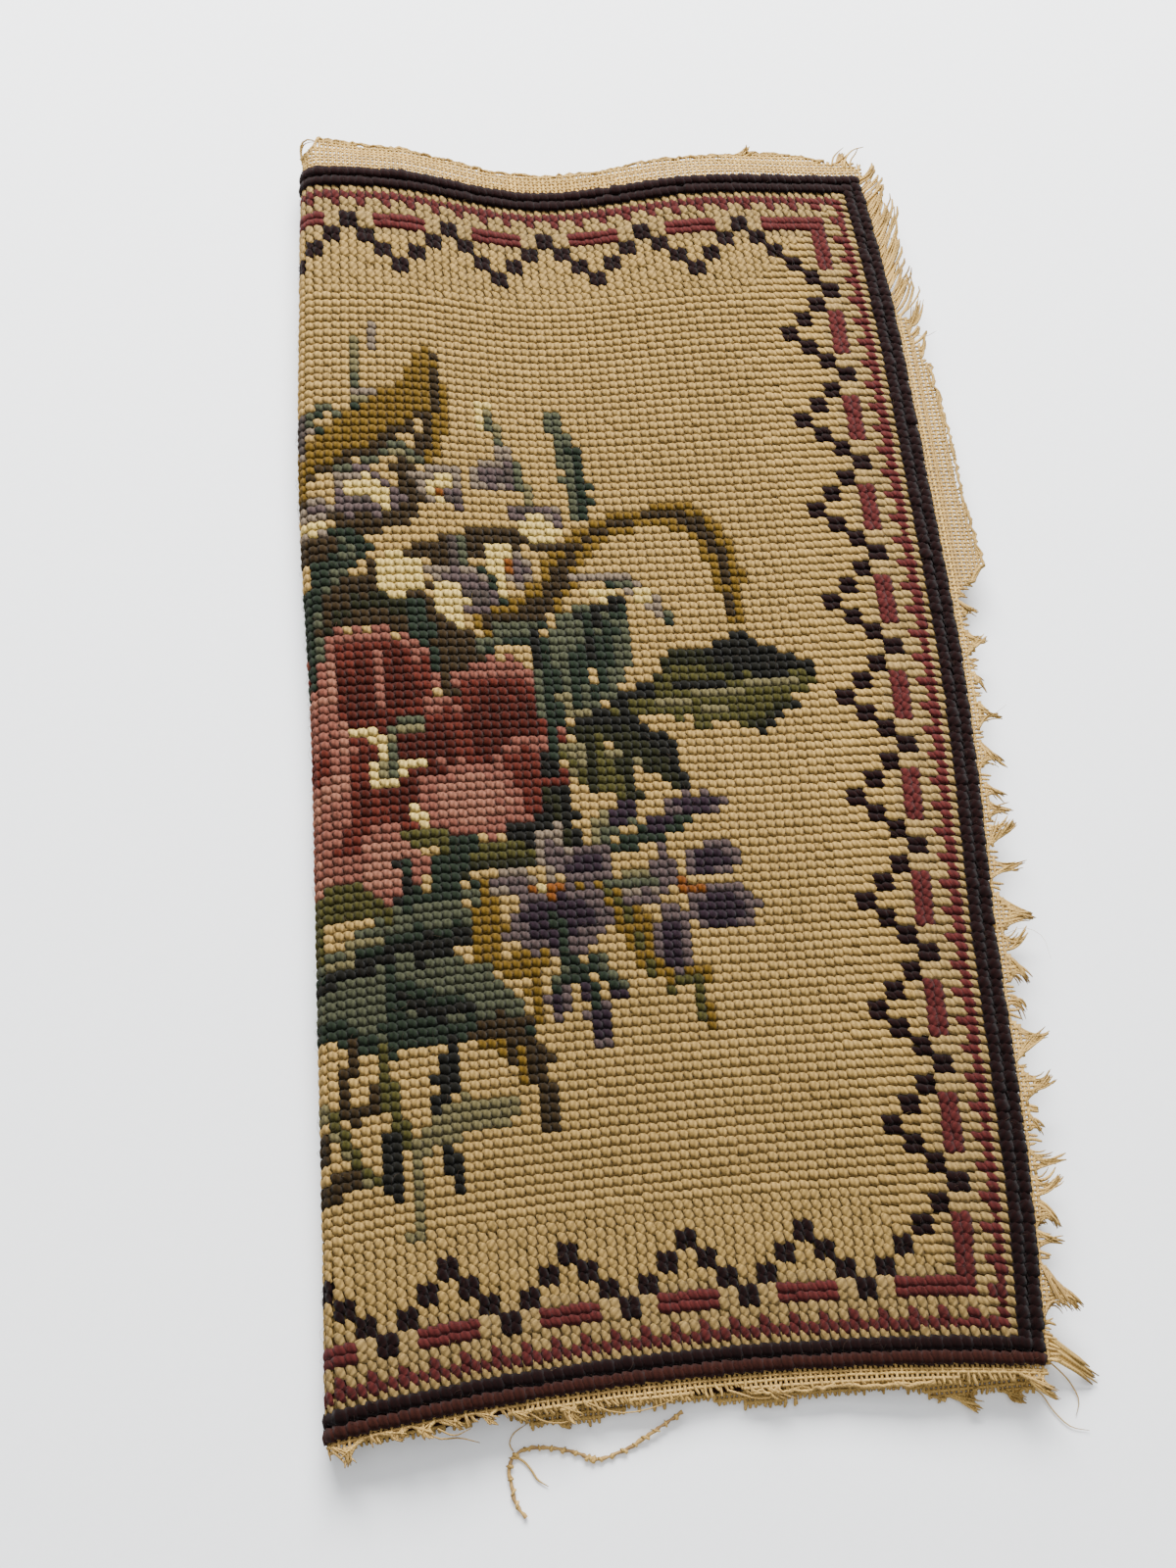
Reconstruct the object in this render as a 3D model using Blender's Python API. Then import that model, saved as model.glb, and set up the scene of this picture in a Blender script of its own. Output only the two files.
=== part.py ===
"""A needlepoint panel folded in half with its stitched front outside, lying on its back half.

Wool cross stitch covers a square field on plain woven canvas. Outside the field is a raw
canvas margin, ravelled along its edges, and one long thread has worked loose at the bottom.
The fold runs along the left side. Sizes below are in millimetres; the model is in metres, +Z up,
with its origin on the surface that it lies on, under the middle of the folded panel.
"""

import math
import random
from collections import namedtuple

import bmesh
import bpy
import numpy as np
from mathutils import Matrix, Vector

MM = 0.001

# The worked field, flat: 142 stitches each way, ten to the inch
STITCH = 2.54
FIELD = 142 * STITCH
WORKED_THICK = 2.8
CANVAS_THICK = 1.0

# Where the frame's origin lies, from the fold line and from the middle of the field's height
ORIGIN_X = 95.8
ORIGIN_Y = 0.5

# The upper half of the sheet, in rows from the field's top edge (0) to its bottom edge (1)
# fold_x: how far the fold stands out of a straight line
# width: the cloth from the fold's outermost line to the field's right edge
# fold_y, mid_y, edge_y: how far the threads bow up the panel there
# crest, hollow, rise, edge: height of the sheet's middle, going right from the fold
Section = namedtuple("Section", "at fold_x width fold_y mid_y edge_y crest hollow rise edge")
SECTIONS = (
    Section(0.00, 3.5, 179.0, 3.0, -3.5, 1.5, 13.5, 5.2, 13.0, 6.5),
    Section(0.10, 1.5, 182.5, 2.0, -2.0, 1.5, 12.5, 5.2, 11.0, 8.0),
    Section(0.30, -1.5, 186.0, 1.0, 0.0, 0.5, 11.5, 7.0, 8.0, 9.5),
    Section(0.50, -1.0, 185.5, -0.5, 1.5, 0.5, 11.0, 8.5, 7.0, 10.0),
    Section(0.70, -2.5, 183.0, -2.5, 2.5, 0.5, 10.5, 8.0, 6.2, 10.5),
    Section(0.90, -4.0, 181.5, -4.0, 2.5, -0.5, 9.5, 5.5, 5.8, 10.5),
    Section(1.00, -5.0, 179.5, -5.0, 3.0, -1.5, 9.5, 6.0, 5.5, 9.0),
)
CREST_AT = 29.0
HOLLOW_AT = 70.0
RISE_AT = 122.0
FOLD_ROUND = 0.94
MARGIN_DROOP = 2.0

# The lower half lies flat and sits a little further down than the upper one
LOWER_WIDTH = 178.5
LOWER_SLIP = -1.5
LOWER_SETTLE = 60.0
TURN_REACH = 14.0

# Woven canvas left outside the field: share of the way along the side, and its width
TOP_MARGIN = ((0.0, 9.0), (0.08, 10.5), (0.25, 8.0), (0.45, 6.0), (0.62, 7.5), (0.78, 8.5),
              (0.80, 11.0), (0.86, 9.5), (1.0, 5.5))
RIGHT_MARGIN = ((0.0, 4.5), (0.10, 4.0), (0.17, 5.0), (0.22, 7.5), (0.35, 9.0), (0.395, 10.0),
                (0.42, 6.0), (0.55, 5.0), (0.75, 6.0), (0.9, 5.5), (1.0, 5.0))
BOTTOM_MARGIN = ((0.0, 8.0), (0.1, 7.0), (0.35, 7.5), (0.6, 8.5), (0.85, 8.0), (1.0, 6.0))
LOWER_MARGIN = ((0.0, 7.5), (0.3, 8.5), (0.55, 7.5), (0.8, 8.5), (1.0, 7.0))
LOWER_BOTTOM_MARGIN = ((0.0, 6.5), (0.2, 5.0), (0.5, 4.5), (0.75, 5.0), (0.86, 8.5), (1.0, 8.0))

# The grid that the sheet is built on. 0 is the fold or the top edge, 1 the field's edge,
# and past 1 is the share of the canvas margin.
STEP_SHARE = 0.004
ROW_LINES = np.linspace(0, 1, 35)
UPPER_COLUMNS = (0.012, 0.028, 0.05, 0.08, 0.12, 0.165, 0.215, 0.27, 0.33, 0.39, 0.45, 0.51, 0.57,
                 0.63, 0.69, 0.75, 0.81, 0.87, 0.93)
LOWER_COLUMNS = (0.012, 0.028, 0.05, 0.08, 0.12, 0.2, 0.32, 0.44, 0.56, 0.68, 0.8, 0.9)
UPPER_LINES = (0, *UPPER_COLUMNS, 1)
LOWER_LINES = (0, *LOWER_COLUMNS, 1)

# Ravelled edges: a narrow strip of the last threads, 0.3 mm off the woven edge, with its strands
STRIP_GAP = 0.3
STRIP_WIDTH = 1.0
STRIP_THICK = 0.8
STRIP_PAST_FIELD = 2.0
STRIP_FROM_FOLD = 0.05
ROOT_LENGTH = 1.1
STRAND_PARTS = 2
STRAND_TAPER = 0.72
STRAND_LEAN = 0.45
STRAND_DROOP = 0.1

# The thread that has worked loose, on the surface that the panel lies on
THREAD_THICK = 0.9
THREAD_POINT_STEP = 2.2
THREAD_ROUTE = (
    (81.5, -185.6, 1.8), (79.0, -187.0, 1.75), (76.2, -188.4, 1.65), (73.6, -189.8, 1.45),
    (70.9, -191.2, 0.9), (68.2, -192.6, 0.5), (65.0, -193.7, 0.5), (59.7, -194.8, 0.5),
    (53.8, -192.6, 0.5), (46.9, -191.0, 0.5), (42.5, -190.9, 0.5), (39.2, -192.4, 0.5),
    (37.8, -195.4, 0.5), (38.2, -198.9, 0.5), (38.8, -202.9, 0.5), (41.1, -206.6, 0.5),
)

WOOL_COLOUR = (0.55, 0.40, 0.19, 1.0)
CANVAS_COLOUR = (0.68, 0.56, 0.38, 1.0)


def smooth(knots, values, places):
    """Read a smooth curve through values at knots. Places past the ends keep the end's value."""
    knots = np.asarray(knots, float)
    values = np.asarray(values, float)
    if values.ndim == 1:
        values = values[:, None]
    steps = np.diff(knots)[:, None]
    slopes = np.diff(values, axis=0) / steps
    inner = (slopes[:-1] * steps[1:] + slopes[1:] * steps[:-1]) / (steps[:-1] + steps[1:])
    tangents = np.vstack([slopes[:1], inner, slopes[-1:]])
    places = np.clip(places, knots[0], knots[-1])
    low = np.clip(np.searchsorted(knots, places, side="right") - 1, 0, len(knots) - 2)
    step = steps[low]
    t = ((places - knots[low]) / step[:, 0])[:, None]
    before = values[low] * (1 + 2 * t) * (1 - t) ** 2 + tangents[low] * step * t * (1 - t) ** 2
    after = values[low + 1] * t ** 2 * (3 - 2 * t) - tangents[low + 1] * step * t ** 2 * (1 - t)
    return before + after


def read_width(table, share, lines):
    """Width of a margin at each share of its side. It runs straight between the grid's lines."""
    on_lines = np.interp(lines, *zip(*table))
    return np.interp(share, lines, on_lines)


class FoldedSheet:
    """The middle surface of the sheet, read at s across from the fold and v down from the top.

    s is measured along the cloth from the fold's outermost line: positive on the upper half,
    negative on the lower one.
    """

    REACH = 205.0
    OVERHANG = 18.0
    DOWN_STEP = 3.0
    FINE_POINTS = 1600

    def __init__(self):
        self.v = np.arange(-self.OVERHANG, FIELD + self.OVERHANG, self.DOWN_STEP)
        self.s = np.arange(-self.REACH, self.REACH + 0.1, 1.0)
        share = np.clip(self.v / FIELD, 0, 1)
        rows = smooth([row.at for row in SECTIONS], [row[1:] for row in SECTIONS], share)
        self.widths = rows[:, 1]
        self.points = np.array([self.section(Section(0, *row), v) for row, v in zip(rows, self.v)])

    def section(self, row, v):
        """Points of one cross-section, one for each s."""
        lower = WORKED_THICK / 2
        turn_top = lower + (row.crest - lower) * FOLD_ROUND
        radius = (turn_top - lower) / 2
        turn = [(radius - radius * math.cos(a), lower + radius + radius * math.sin(a))
                for a in np.radians((-60, -30, 0, 30, 60))]
        beyond = row.width + self.OVERHANG + 10
        route = [(beyond, lower), (TURN_REACH * 2, lower), (TURN_REACH, lower), (radius, lower)]
        route += turn
        route += [(radius * 1.15, turn_top), (CREST_AT, row.crest), (HOLLOW_AT, row.hollow),
                  (RISE_AT, row.rise), (row.width - 6, row.edge),
                  (beyond, row.edge - MARGIN_DROOP * 1.6)]
        route = np.array(route)
        knots = np.append(0, np.cumsum(np.sqrt(np.hypot(*np.diff(route, axis=0).T))))
        fine = smooth(knots, route, np.linspace(0, knots[-1], self.FINE_POINTS))
        along = np.append(0, np.cumsum(np.hypot(*np.diff(fine, axis=0).T)))
        outermost = np.argmin(fine[:, 0])
        x = np.interp(self.s + along[outermost], along, fine[:, 0]) + row.fold_x
        z = np.interp(self.s + along[outermost], along, fine[:, 1])
        past_end = np.maximum(0, np.maximum(-v, v - FIELD))
        droop = MARGIN_DROOP * (past_end / 10) ** 2 * np.clip(self.s / 20, 0, 1)
        z = z - droop
        return np.stack([x, self.thread_y(row, v), z], axis=1)

    def thread_y(self, row, v):
        """How far up the panel the thread at v lies, for each s."""
        f = np.clip(self.s / row.width, 0, 1.1)
        bow = row.fold_y * (1 - f) * (1 - 2 * f) + row.mid_y * 4 * f * (1 - f)
        bow = bow + row.edge_y * f * (2 * f - 1)
        settle = np.clip(-self.s / LOWER_SETTLE, 0, 1)
        settle = settle * settle * (3 - 2 * settle)
        bow = np.where(self.s < 0, row.fold_y * (1 - settle) + LOWER_SLIP * settle, bow)
        return FIELD / 2 - v + bow

    def at(self, s, v):
        """Places of the middle surface, in millimetres, for arrays of s and v."""
        s = np.asarray(s, float)
        v = np.asarray(v, float)
        across = np.clip(s - self.s[0], 0, len(self.s) - 1.001)
        down = np.clip((v - self.v[0]) / self.DOWN_STEP, 0, len(self.v) - 1.001)
        column = across.astype(int)
        row = down.astype(int)
        part_across = (across - column)[..., None]
        part_down = (down - row)[..., None]
        top = self.points[row, column] * (1 - part_across) + self.points[row, column + 1] * part_across
        low = self.points[row + 1, column] * (1 - part_across)
        low = low + self.points[row + 1, column + 1] * part_across
        return top * (1 - part_down) + low * part_down

    def normal(self, s, v):
        """Unit normals that point out of the stitched front."""
        reach = 1.5
        across = self.at(s + reach, v) - self.at(s - reach, v)
        down = self.at(s, v + reach) - self.at(s, v - reach)
        normals = np.cross(down, across)
        return normals / np.linalg.norm(normals, axis=-1, keepdims=True)

    def width(self, v):
        return np.interp(v, self.v, self.widths)


SHEET = FoldedSheet()


def across_at(c, v):
    """s of the grid column c in the thread at v, past 1 into the margin."""
    share = np.clip(v / FIELD, 0, 1)
    upper_margin = read_width(RIGHT_MARGIN, share, ROW_LINES)
    lower_margin = read_width(LOWER_MARGIN, share, ROW_LINES)
    upper = SHEET.width(v) * np.clip(c, 0, 1) + upper_margin * np.clip(c - 1, 0, 1)
    lower = LOWER_WIDTH * np.clip(-c, 0, 1) + lower_margin * np.clip(-c - 1, 0, 1)
    return upper - lower


def down_at(r, c):
    """v of the grid row r in the column c, past 0 or 1 into the margin."""
    upper = np.clip(c, 0, 1)
    lower = np.clip(-c, 0, 1)
    top = read_width(TOP_MARGIN, upper, UPPER_LINES)
    bottom = np.where(c < 0, read_width(LOWER_BOTTOM_MARGIN, lower, LOWER_LINES),
                      read_width(BOTTOM_MARGIN, upper, UPPER_LINES))
    return FIELD * np.clip(r, 0, 1) - top * np.clip(-r, 0, 1) + bottom * np.clip(r - 1, 0, 1)


def thickness(s, v):
    """Worked cloth is thicker than the bare canvas of the margin."""
    outside = np.maximum(np.where(s > 0, s - SHEET.width(v), -s - LOWER_WIDTH), np.maximum(-v, v - FIELD))
    return np.where(outside > 0, CANVAS_THICK, WORKED_THICK)


def to_frame(points):
    """Millimetres from the fold line and the field's middle, turned into places in the part's frame."""
    shifted = np.asarray(points, float) - (ORIGIN_X, ORIGIN_Y, 0)
    return shifted * MM


def grid_vertices(bm, columns, rows, height):
    """Add a flat grid and return its vertices as [row][column]."""
    level = Matrix.Translation((0, 0, height))
    made = bmesh.ops.create_grid(bm, x_segments=columns - 1, y_segments=rows - 1, size=1, matrix=level)
    made = made["verts"]
    ordered = [[None] * columns for _ in range(rows)]
    for vertex in made:
        column = round((vertex.co.x + 1) / 2 * (columns - 1))
        row = round((vertex.co.y + 1) / 2 * (rows - 1))
        ordered[row][column] = vertex
    return ordered


def place_grid(vertices, points):
    """Move a grid's vertices to a like grid of points in millimetres."""
    for vertex_row, point_row in zip(vertices, to_frame(points)):
        for vertex, point in zip(vertex_row, point_row):
            vertex.co = Vector(point)


def two_sided(front, back):
    """A bmesh of two like grids of points, joined round their edges, and its front grid's vertices."""
    bm = bmesh.new()
    rows, columns = front.shape[:2]
    front_vertices = grid_vertices(bm, columns, rows, 0.1)
    back_vertices = grid_vertices(bm, columns, rows, 0)
    bmesh.ops.bridge_loops(bm, edges=[edge for edge in bm.edges if edge.is_boundary])
    place_grid(front_vertices, front)
    place_grid(back_vertices, back)
    bmesh.ops.recalc_face_normals(bm, faces=bm.faces)
    return bm, front_vertices, back_vertices


def material(name, colour, roughness):
    """A plain Principled material."""
    made = bpy.data.materials.new(name)
    made.use_nodes = True
    shader = made.node_tree.nodes["Principled BSDF"]
    shader.inputs["Base Color"].default_value = colour
    shader.inputs["Roughness"].default_value = roughness
    return made


def finish_object(bm, name, surface):
    """Make one object of a bmesh, with its faces pointing out."""
    if bm.calc_volume(signed=True) < 0:
        bmesh.ops.reverse_faces(bm, faces=bm.faces)
    mesh = bpy.data.meshes.new(name)
    bm.to_mesh(mesh)
    bm.free()
    mesh.materials.append(surface)
    mesh.shade_smooth()
    mesh.set_sharp_from_angle(angle=math.radians(40))
    made = bpy.data.objects.new(name, mesh)
    bpy.context.scene.collection.objects.link(made)
    return made


def panel(surface):
    """The whole cloth: worked field and canvas margin, folded back on itself."""
    upper = [*UPPER_COLUMNS, 1 - STEP_SHARE, 1 + STEP_SHARE, 1.5, 2]
    lower = [*LOWER_COLUMNS, 1 - STEP_SHARE, 1 + STEP_SHARE, 2]
    columns = np.array([-c for c in reversed(lower)] + [0] + upper)
    rows = np.array([-1, -0.5, -STEP_SHARE, STEP_SHARE / 2, *ROW_LINES[1:-1], 1 - STEP_SHARE / 2,
                     1 + STEP_SHARE, 1.5, 2])
    c, r = np.meshgrid(columns, rows)
    v = down_at(r, c)
    s = across_at(c, v)
    middle = SHEET.at(s, v)
    half = SHEET.normal(s, v) * thickness(s, v)[..., None] / 2
    front = middle + half
    back = middle - half
    lies_flat = s < -TURN_REACH * 2
    front[..., 2] = np.where(lies_flat, 0, np.maximum(front[..., 2], 0))
    back[..., 2] = np.where(lies_flat, thickness(s, v), back[..., 2])
    bm, _, _ = two_sided(front, back)
    return finish_object(bm, "panel", surface)


def right_edge(share, out, side):
    """s and v on a line beyond the right margin, at each share of its length."""
    v = -STRIP_PAST_FIELD + share * (FIELD + 2 * STRIP_PAST_FIELD)
    c = np.full_like(v, 2.0 * side)
    return across_at(c, v) + side * (STRIP_GAP + out), v


def top_edge(share, out, side):
    """The same beyond the upper half's top margin."""
    c = STRIP_FROM_FOLD + share * (1 - STRIP_FROM_FOLD)
    return across_at(c, np.zeros_like(c)), down_at(np.full_like(c, -1.0), c) - STRIP_GAP - out


def bottom_edge(share, out, side):
    """The same beyond either half's bottom margin."""
    c = side * (STRIP_FROM_FOLD + share * (0.98 - STRIP_FROM_FOLD))
    v = down_at(np.full_like(c, 2.0), c) + STRIP_GAP + out
    return across_at(c, np.full_like(c, FIELD)), v


def frayed_strip(name, edge, side, count, lengths, surface, seed):
    """A strip along one raw edge, with count strands that grow out of it."""
    draw = random.Random(seed)
    ends = SHEET.at(*edge(np.array([0.0, 1.0]), 0, side))
    root = ROOT_LENGTH / np.linalg.norm(ends[1] - ends[0])
    starts = [(i + draw.uniform(0.15, 0.65)) / count for i in range(count)]
    stations = np.array([0, *(place for start in starts for place in (start, start + root)), 1])
    s, v = (np.stack(pair, axis=1) for pair in zip(*(edge(stations, out, side) for out in (0, STRIP_WIDTH))))
    middle = SHEET.at(s, v)
    half = SHEET.normal(s, v) * STRIP_THICK / 2
    if side < 0:
        half[:] = (0, 0, -STRIP_THICK / 2)
        middle[..., 2] = STRIP_THICK / 2
    bm, front, back = two_sided(middle + half, middle - half)
    station_of = {row[1]: i for grid in (front, back) for i, row in enumerate(grid)}
    rim = [face for face in bm.faces if all(vertex in station_of for vertex in face.verts)]
    rim.sort(key=lambda face: min(station_of[vertex] for vertex in face.verts))
    grown = rim[1::2]
    outward = (middle[1:-1:2, 1] - middle[1:-1:2, 0]) / STRIP_WIDTH
    along = (ends[1] - ends[0]) / np.linalg.norm(ends[1] - ends[0])
    ways = [way + along * draw.uniform(-STRAND_LEAN, STRAND_LEAN) for way in outward]
    reaches = [draw.uniform(*lengths) / STRAND_PARTS for _ in grown]
    for part in range(1, STRAND_PARTS + 1):
        grown = bmesh.ops.extrude_discrete_faces(bm, faces=grown)["faces"]
        for face, way, reach in zip(grown, ways, reaches):
            drop = -STRAND_DROOP * part if side > 0 else -way[2]
            thinner = Vector((STRAND_TAPER, STRAND_TAPER, STRAND_TAPER if side > 0 else 1))
            to_middle = Matrix.Translation(-face.calc_center_median())
            bmesh.ops.scale(bm, vec=thinner, space=to_middle, verts=face.verts)
            step = Vector(way * reach + (0, 0, drop * reach)) * MM
            bmesh.ops.translate(bm, vec=step, verts=face.verts)
    return finish_object(bm, name, surface)


def loose_thread(surface):
    """One long canvas thread, lying in a curve on the surface."""
    route = np.array(THREAD_ROUTE, float)
    knots = np.append(0, np.cumsum(np.linalg.norm(np.diff(route, axis=0), axis=1)))
    count = round(knots[-1] / THREAD_POINT_STEP)
    points = to_frame(smooth(knots, route, np.linspace(0, knots[-1], count)))
    curve = bpy.data.curves.new("loose_thread", "CURVE")
    curve.dimensions = "3D"
    curve.bevel_depth = THREAD_THICK / 2 * MM
    curve.bevel_resolution = 2
    curve.use_fill_caps = True
    spline = curve.splines.new("POLY")
    spline.points.add(count - 1)
    for point, place in zip(spline.points, points):
        point.co = (*place, 1)
    curve.materials.append(surface)
    made = bpy.data.objects.new("loose_thread", curve)
    bpy.context.scene.collection.objects.link(made)
    return made


def main():
    for old in list(bpy.data.objects):
        bpy.data.objects.remove(old, do_unlink=True)
    wool = material("worked_wool", WOOL_COLOUR, 0.9)
    canvas = material("raw_canvas", CANVAS_COLOUR, 0.95)
    panel(wool)
    for row in FRAYED_EDGES:
        frayed_strip(row.name, row.edge, row.side, row.count, (row.shortest, row.longest), canvas, row.seed)
    loose_thread(canvas)


# side is 1 on the upper half and -1 on the lower one
Frayed = namedtuple("Frayed", "name edge side count shortest longest seed")
FRAYED_EDGES = (
    Frayed("frayed_right", right_edge, 1, 46, 3.0, 6.5, 1),
    Frayed("frayed_top", top_edge, 1, 22, 1.5, 3.5, 2),
    Frayed("frayed_bottom", bottom_edge, 1, 24, 1.5, 3.5, 3),
    Frayed("frayed_lower_right", right_edge, -1, 22, 1.5, 4.0, 4),
    Frayed("frayed_lower_bottom", bottom_edge, -1, 24, 1.0, 2.5, 5),
)

main()
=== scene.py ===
"""Looks of a needlepoint panel that lies folded in half with its stitched front outside.

Every cross stitch is a pair of wool legs on the folded sheet, and the bare canvas round the field
is woven thread by thread. Sheet sizes are in millimetres from the fold line and the middle of the
field's height, as in the part's source, and are turned into the frame's metres when they are laid.
"""

import math
from collections import defaultdict, namedtuple
from functools import lru_cache

import bmesh
import bpy
import numpy as np
from mathutils import Matrix, Vector


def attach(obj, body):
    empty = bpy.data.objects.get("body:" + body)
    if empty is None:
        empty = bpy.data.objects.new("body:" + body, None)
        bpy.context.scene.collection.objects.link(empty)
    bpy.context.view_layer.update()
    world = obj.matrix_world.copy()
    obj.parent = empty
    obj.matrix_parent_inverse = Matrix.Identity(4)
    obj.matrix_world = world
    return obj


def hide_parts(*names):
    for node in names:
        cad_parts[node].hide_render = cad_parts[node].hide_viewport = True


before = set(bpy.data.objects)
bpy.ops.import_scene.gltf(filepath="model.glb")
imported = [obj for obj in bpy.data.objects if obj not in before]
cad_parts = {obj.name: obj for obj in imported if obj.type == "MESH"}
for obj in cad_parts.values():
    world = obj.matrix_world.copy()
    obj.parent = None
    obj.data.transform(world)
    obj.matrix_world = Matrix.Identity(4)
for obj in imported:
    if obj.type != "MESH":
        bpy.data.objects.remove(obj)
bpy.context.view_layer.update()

MM = 0.001

# The worked field and the shape of the folded sheet, with the part's own values
STITCHES = 142
STITCH = 2.54
FIELD = STITCHES * STITCH
WORKED_THICK = 2.8
ORIGIN_X = 95.8
ORIGIN_Y = 0.5
Section = namedtuple("Section", "at fold_x width fold_y mid_y edge_y crest hollow rise edge")
SECTIONS = (
    Section(0.00, 3.5, 179.0, 3.0, -3.5, 1.5, 13.5, 5.2, 13.0, 6.5),
    Section(0.10, 1.5, 182.5, 2.0, -2.0, 1.5, 12.5, 5.2, 11.0, 8.0),
    Section(0.30, -1.5, 186.0, 1.0, 0.0, 0.5, 11.5, 7.0, 8.0, 9.5),
    Section(0.50, -1.0, 185.5, -0.5, 1.5, 0.5, 11.0, 8.5, 7.0, 10.0),
    Section(0.70, -2.5, 183.0, -2.5, 2.5, 0.5, 10.5, 8.0, 6.2, 10.5),
    Section(0.90, -4.0, 181.5, -4.0, 2.5, -0.5, 9.5, 5.5, 5.8, 10.5),
    Section(1.00, -5.0, 179.5, -5.0, 3.0, -1.5, 9.5, 6.0, 5.5, 9.0),
)
CREST_AT = 29.0
HOLLOW_AT = 70.0
RISE_AT = 122.0
FOLD_ROUND = 0.94
MARGIN_DROOP = 2.0
LOWER_WIDTH = 178.5
LOWER_SLIP = -1.5
LOWER_SETTLE = 60.0
TURN_REACH = 14.0
LIES_FLAT = -2 * TURN_REACH

# Columns of stitches are counted from the right edge, and this one lies on the fold's outermost line
FOLD_COLUMN = 71.6
WRAPPED_COLUMNS = 84

# Heights over the middle of the sheet
CANVAS_FRONT = 0.2
CANVAS_BACK = 1.0
LOWER_HOLLOW = 0.35
LOWER_BEAD = 1.35

THREAD_THICK = 1.0
THREAD_POINT_STEP = 0.9
THREAD_CRIMP = 0.09
THREAD_ROUTE = (
    (81.5, -185.6, 1.8), (79.0, -187.0, 1.75), (76.2, -188.4, 1.65), (73.6, -189.8, 1.45),
    (70.9, -191.2, 0.9), (68.2, -192.6, 0.5), (65.0, -193.7, 0.5), (59.7, -194.8, 0.5),
    (53.8, -192.6, 0.5), (46.9, -191.0, 0.5), (42.5, -190.9, 0.5), (39.2, -192.4, 0.5),
    (37.8, -195.4, 0.5), (38.2, -198.9, 0.5), (38.8, -202.9, 0.5), (41.1, -206.6, 0.5),
)

CAMERA_PLACE = (-0.09177, -0.21488, 0.50385)
CAMERA_LOOK = (0.12767, 0.36104, -0.92377)
CAMERA_UP = (0.04799, 0.92805, 0.36934)
CAMERA_LENS = 45.0


def linear(colour):
    """A screen colour of 0 to 255 as the linear values that a material takes."""
    share = np.asarray(colour, float) / 255
    return np.where(share <= 0.04045, share / 12.92, ((share + 0.055) / 1.055) ** 2.4)


# How the studio's light and the film curve change a dye between the yarn and the picture
LIGHT_ON_CLOTH = 3.5
SHADOW_LIFT = 0.6
SHADOW_FROM = 0.05
SHOULDER = 8.2
SHOULDER_POWER = 4.35


def dyed(colour):
    """The dye that is seen as a screen colour once it is lit."""
    seen = linear(colour)
    lit = seen * (1 + SHADOW_LIFT * np.exp(-seen / SHADOW_FROM)) * (1 + SHOULDER * seen ** SHOULDER_POWER)
    return lit / LIGHT_ON_CLOTH


YARNS = {
    "ground": (194, 176, 109),
    "beige": (190, 172, 112),
    "black_maroon": (31, 6, 5),
    "brown_maroon": (72, 29, 20),
    "rose": (119, 42, 39),
    "ochre": (146, 112, 27),
    "dark_brown": (64, 45, 19),
    "brick": (118, 40, 26),
    "deep_brick": (90, 25, 12),
    "salmon": (162, 98, 76),
    "light_salmon": (178, 126, 98),
    "grey_green": (94, 97, 67),
    "dark_teal": (40, 52, 34),
    "navy": (26, 24, 16),
    "olive": (91, 85, 31),
    "dark_olive": (40, 40, 15),
    "sage": (145, 134, 86),
    "deep_purple": (53, 34, 45),
    "smoky": (94, 78, 68),
    "lilac": (114, 92, 88),
    "pale_lilac": (160, 142, 118),
    "cream": (208, 198, 142),
    "orange": (156, 88, 24),
}
CANVAS_CREAM = (216, 204, 158)
CANVAS_TAN = (192, 172, 124)
CANVAS_TIP = (144, 115, 68)


def smooth(knots, values, places):
    """Read a smooth curve through values at knots. Places past the ends keep the end's value."""
    knots = np.asarray(knots, float)
    values = np.asarray(values, float)
    if values.ndim == 1:
        values = values[:, None]
    steps = np.diff(knots)[:, None]
    slopes = np.diff(values, axis=0) / steps
    inner = (slopes[:-1] * steps[1:] + slopes[1:] * steps[:-1]) / (steps[:-1] + steps[1:])
    tangents = np.vstack([slopes[:1], inner, slopes[-1:]])
    places = np.clip(places, knots[0], knots[-1])
    low = np.clip(np.searchsorted(knots, places, side="right") - 1, 0, len(knots) - 2)
    step = steps[low]
    t = ((places - knots[low]) / step[:, 0])[:, None]
    before = values[low] * (1 + 2 * t) * (1 - t) ** 2 + tangents[low] * step * t * (1 - t) ** 2
    after = values[low + 1] * t ** 2 * (3 - 2 * t) - tangents[low + 1] * step * t ** 2 * (1 - t)
    return before + after


def run_along(points):
    """How far along a bent line each of its points lies."""
    steps = np.diff(np.asarray(points, float), axis=0)
    return np.append(0, np.cumsum(np.linalg.norm(steps, axis=1)))


def along_line(points, count):
    """A smooth line through points, as count points evenly spaced along it."""
    knots = run_along(points)
    return smooth(knots, points, np.linspace(0, knots[-1], count))


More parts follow.
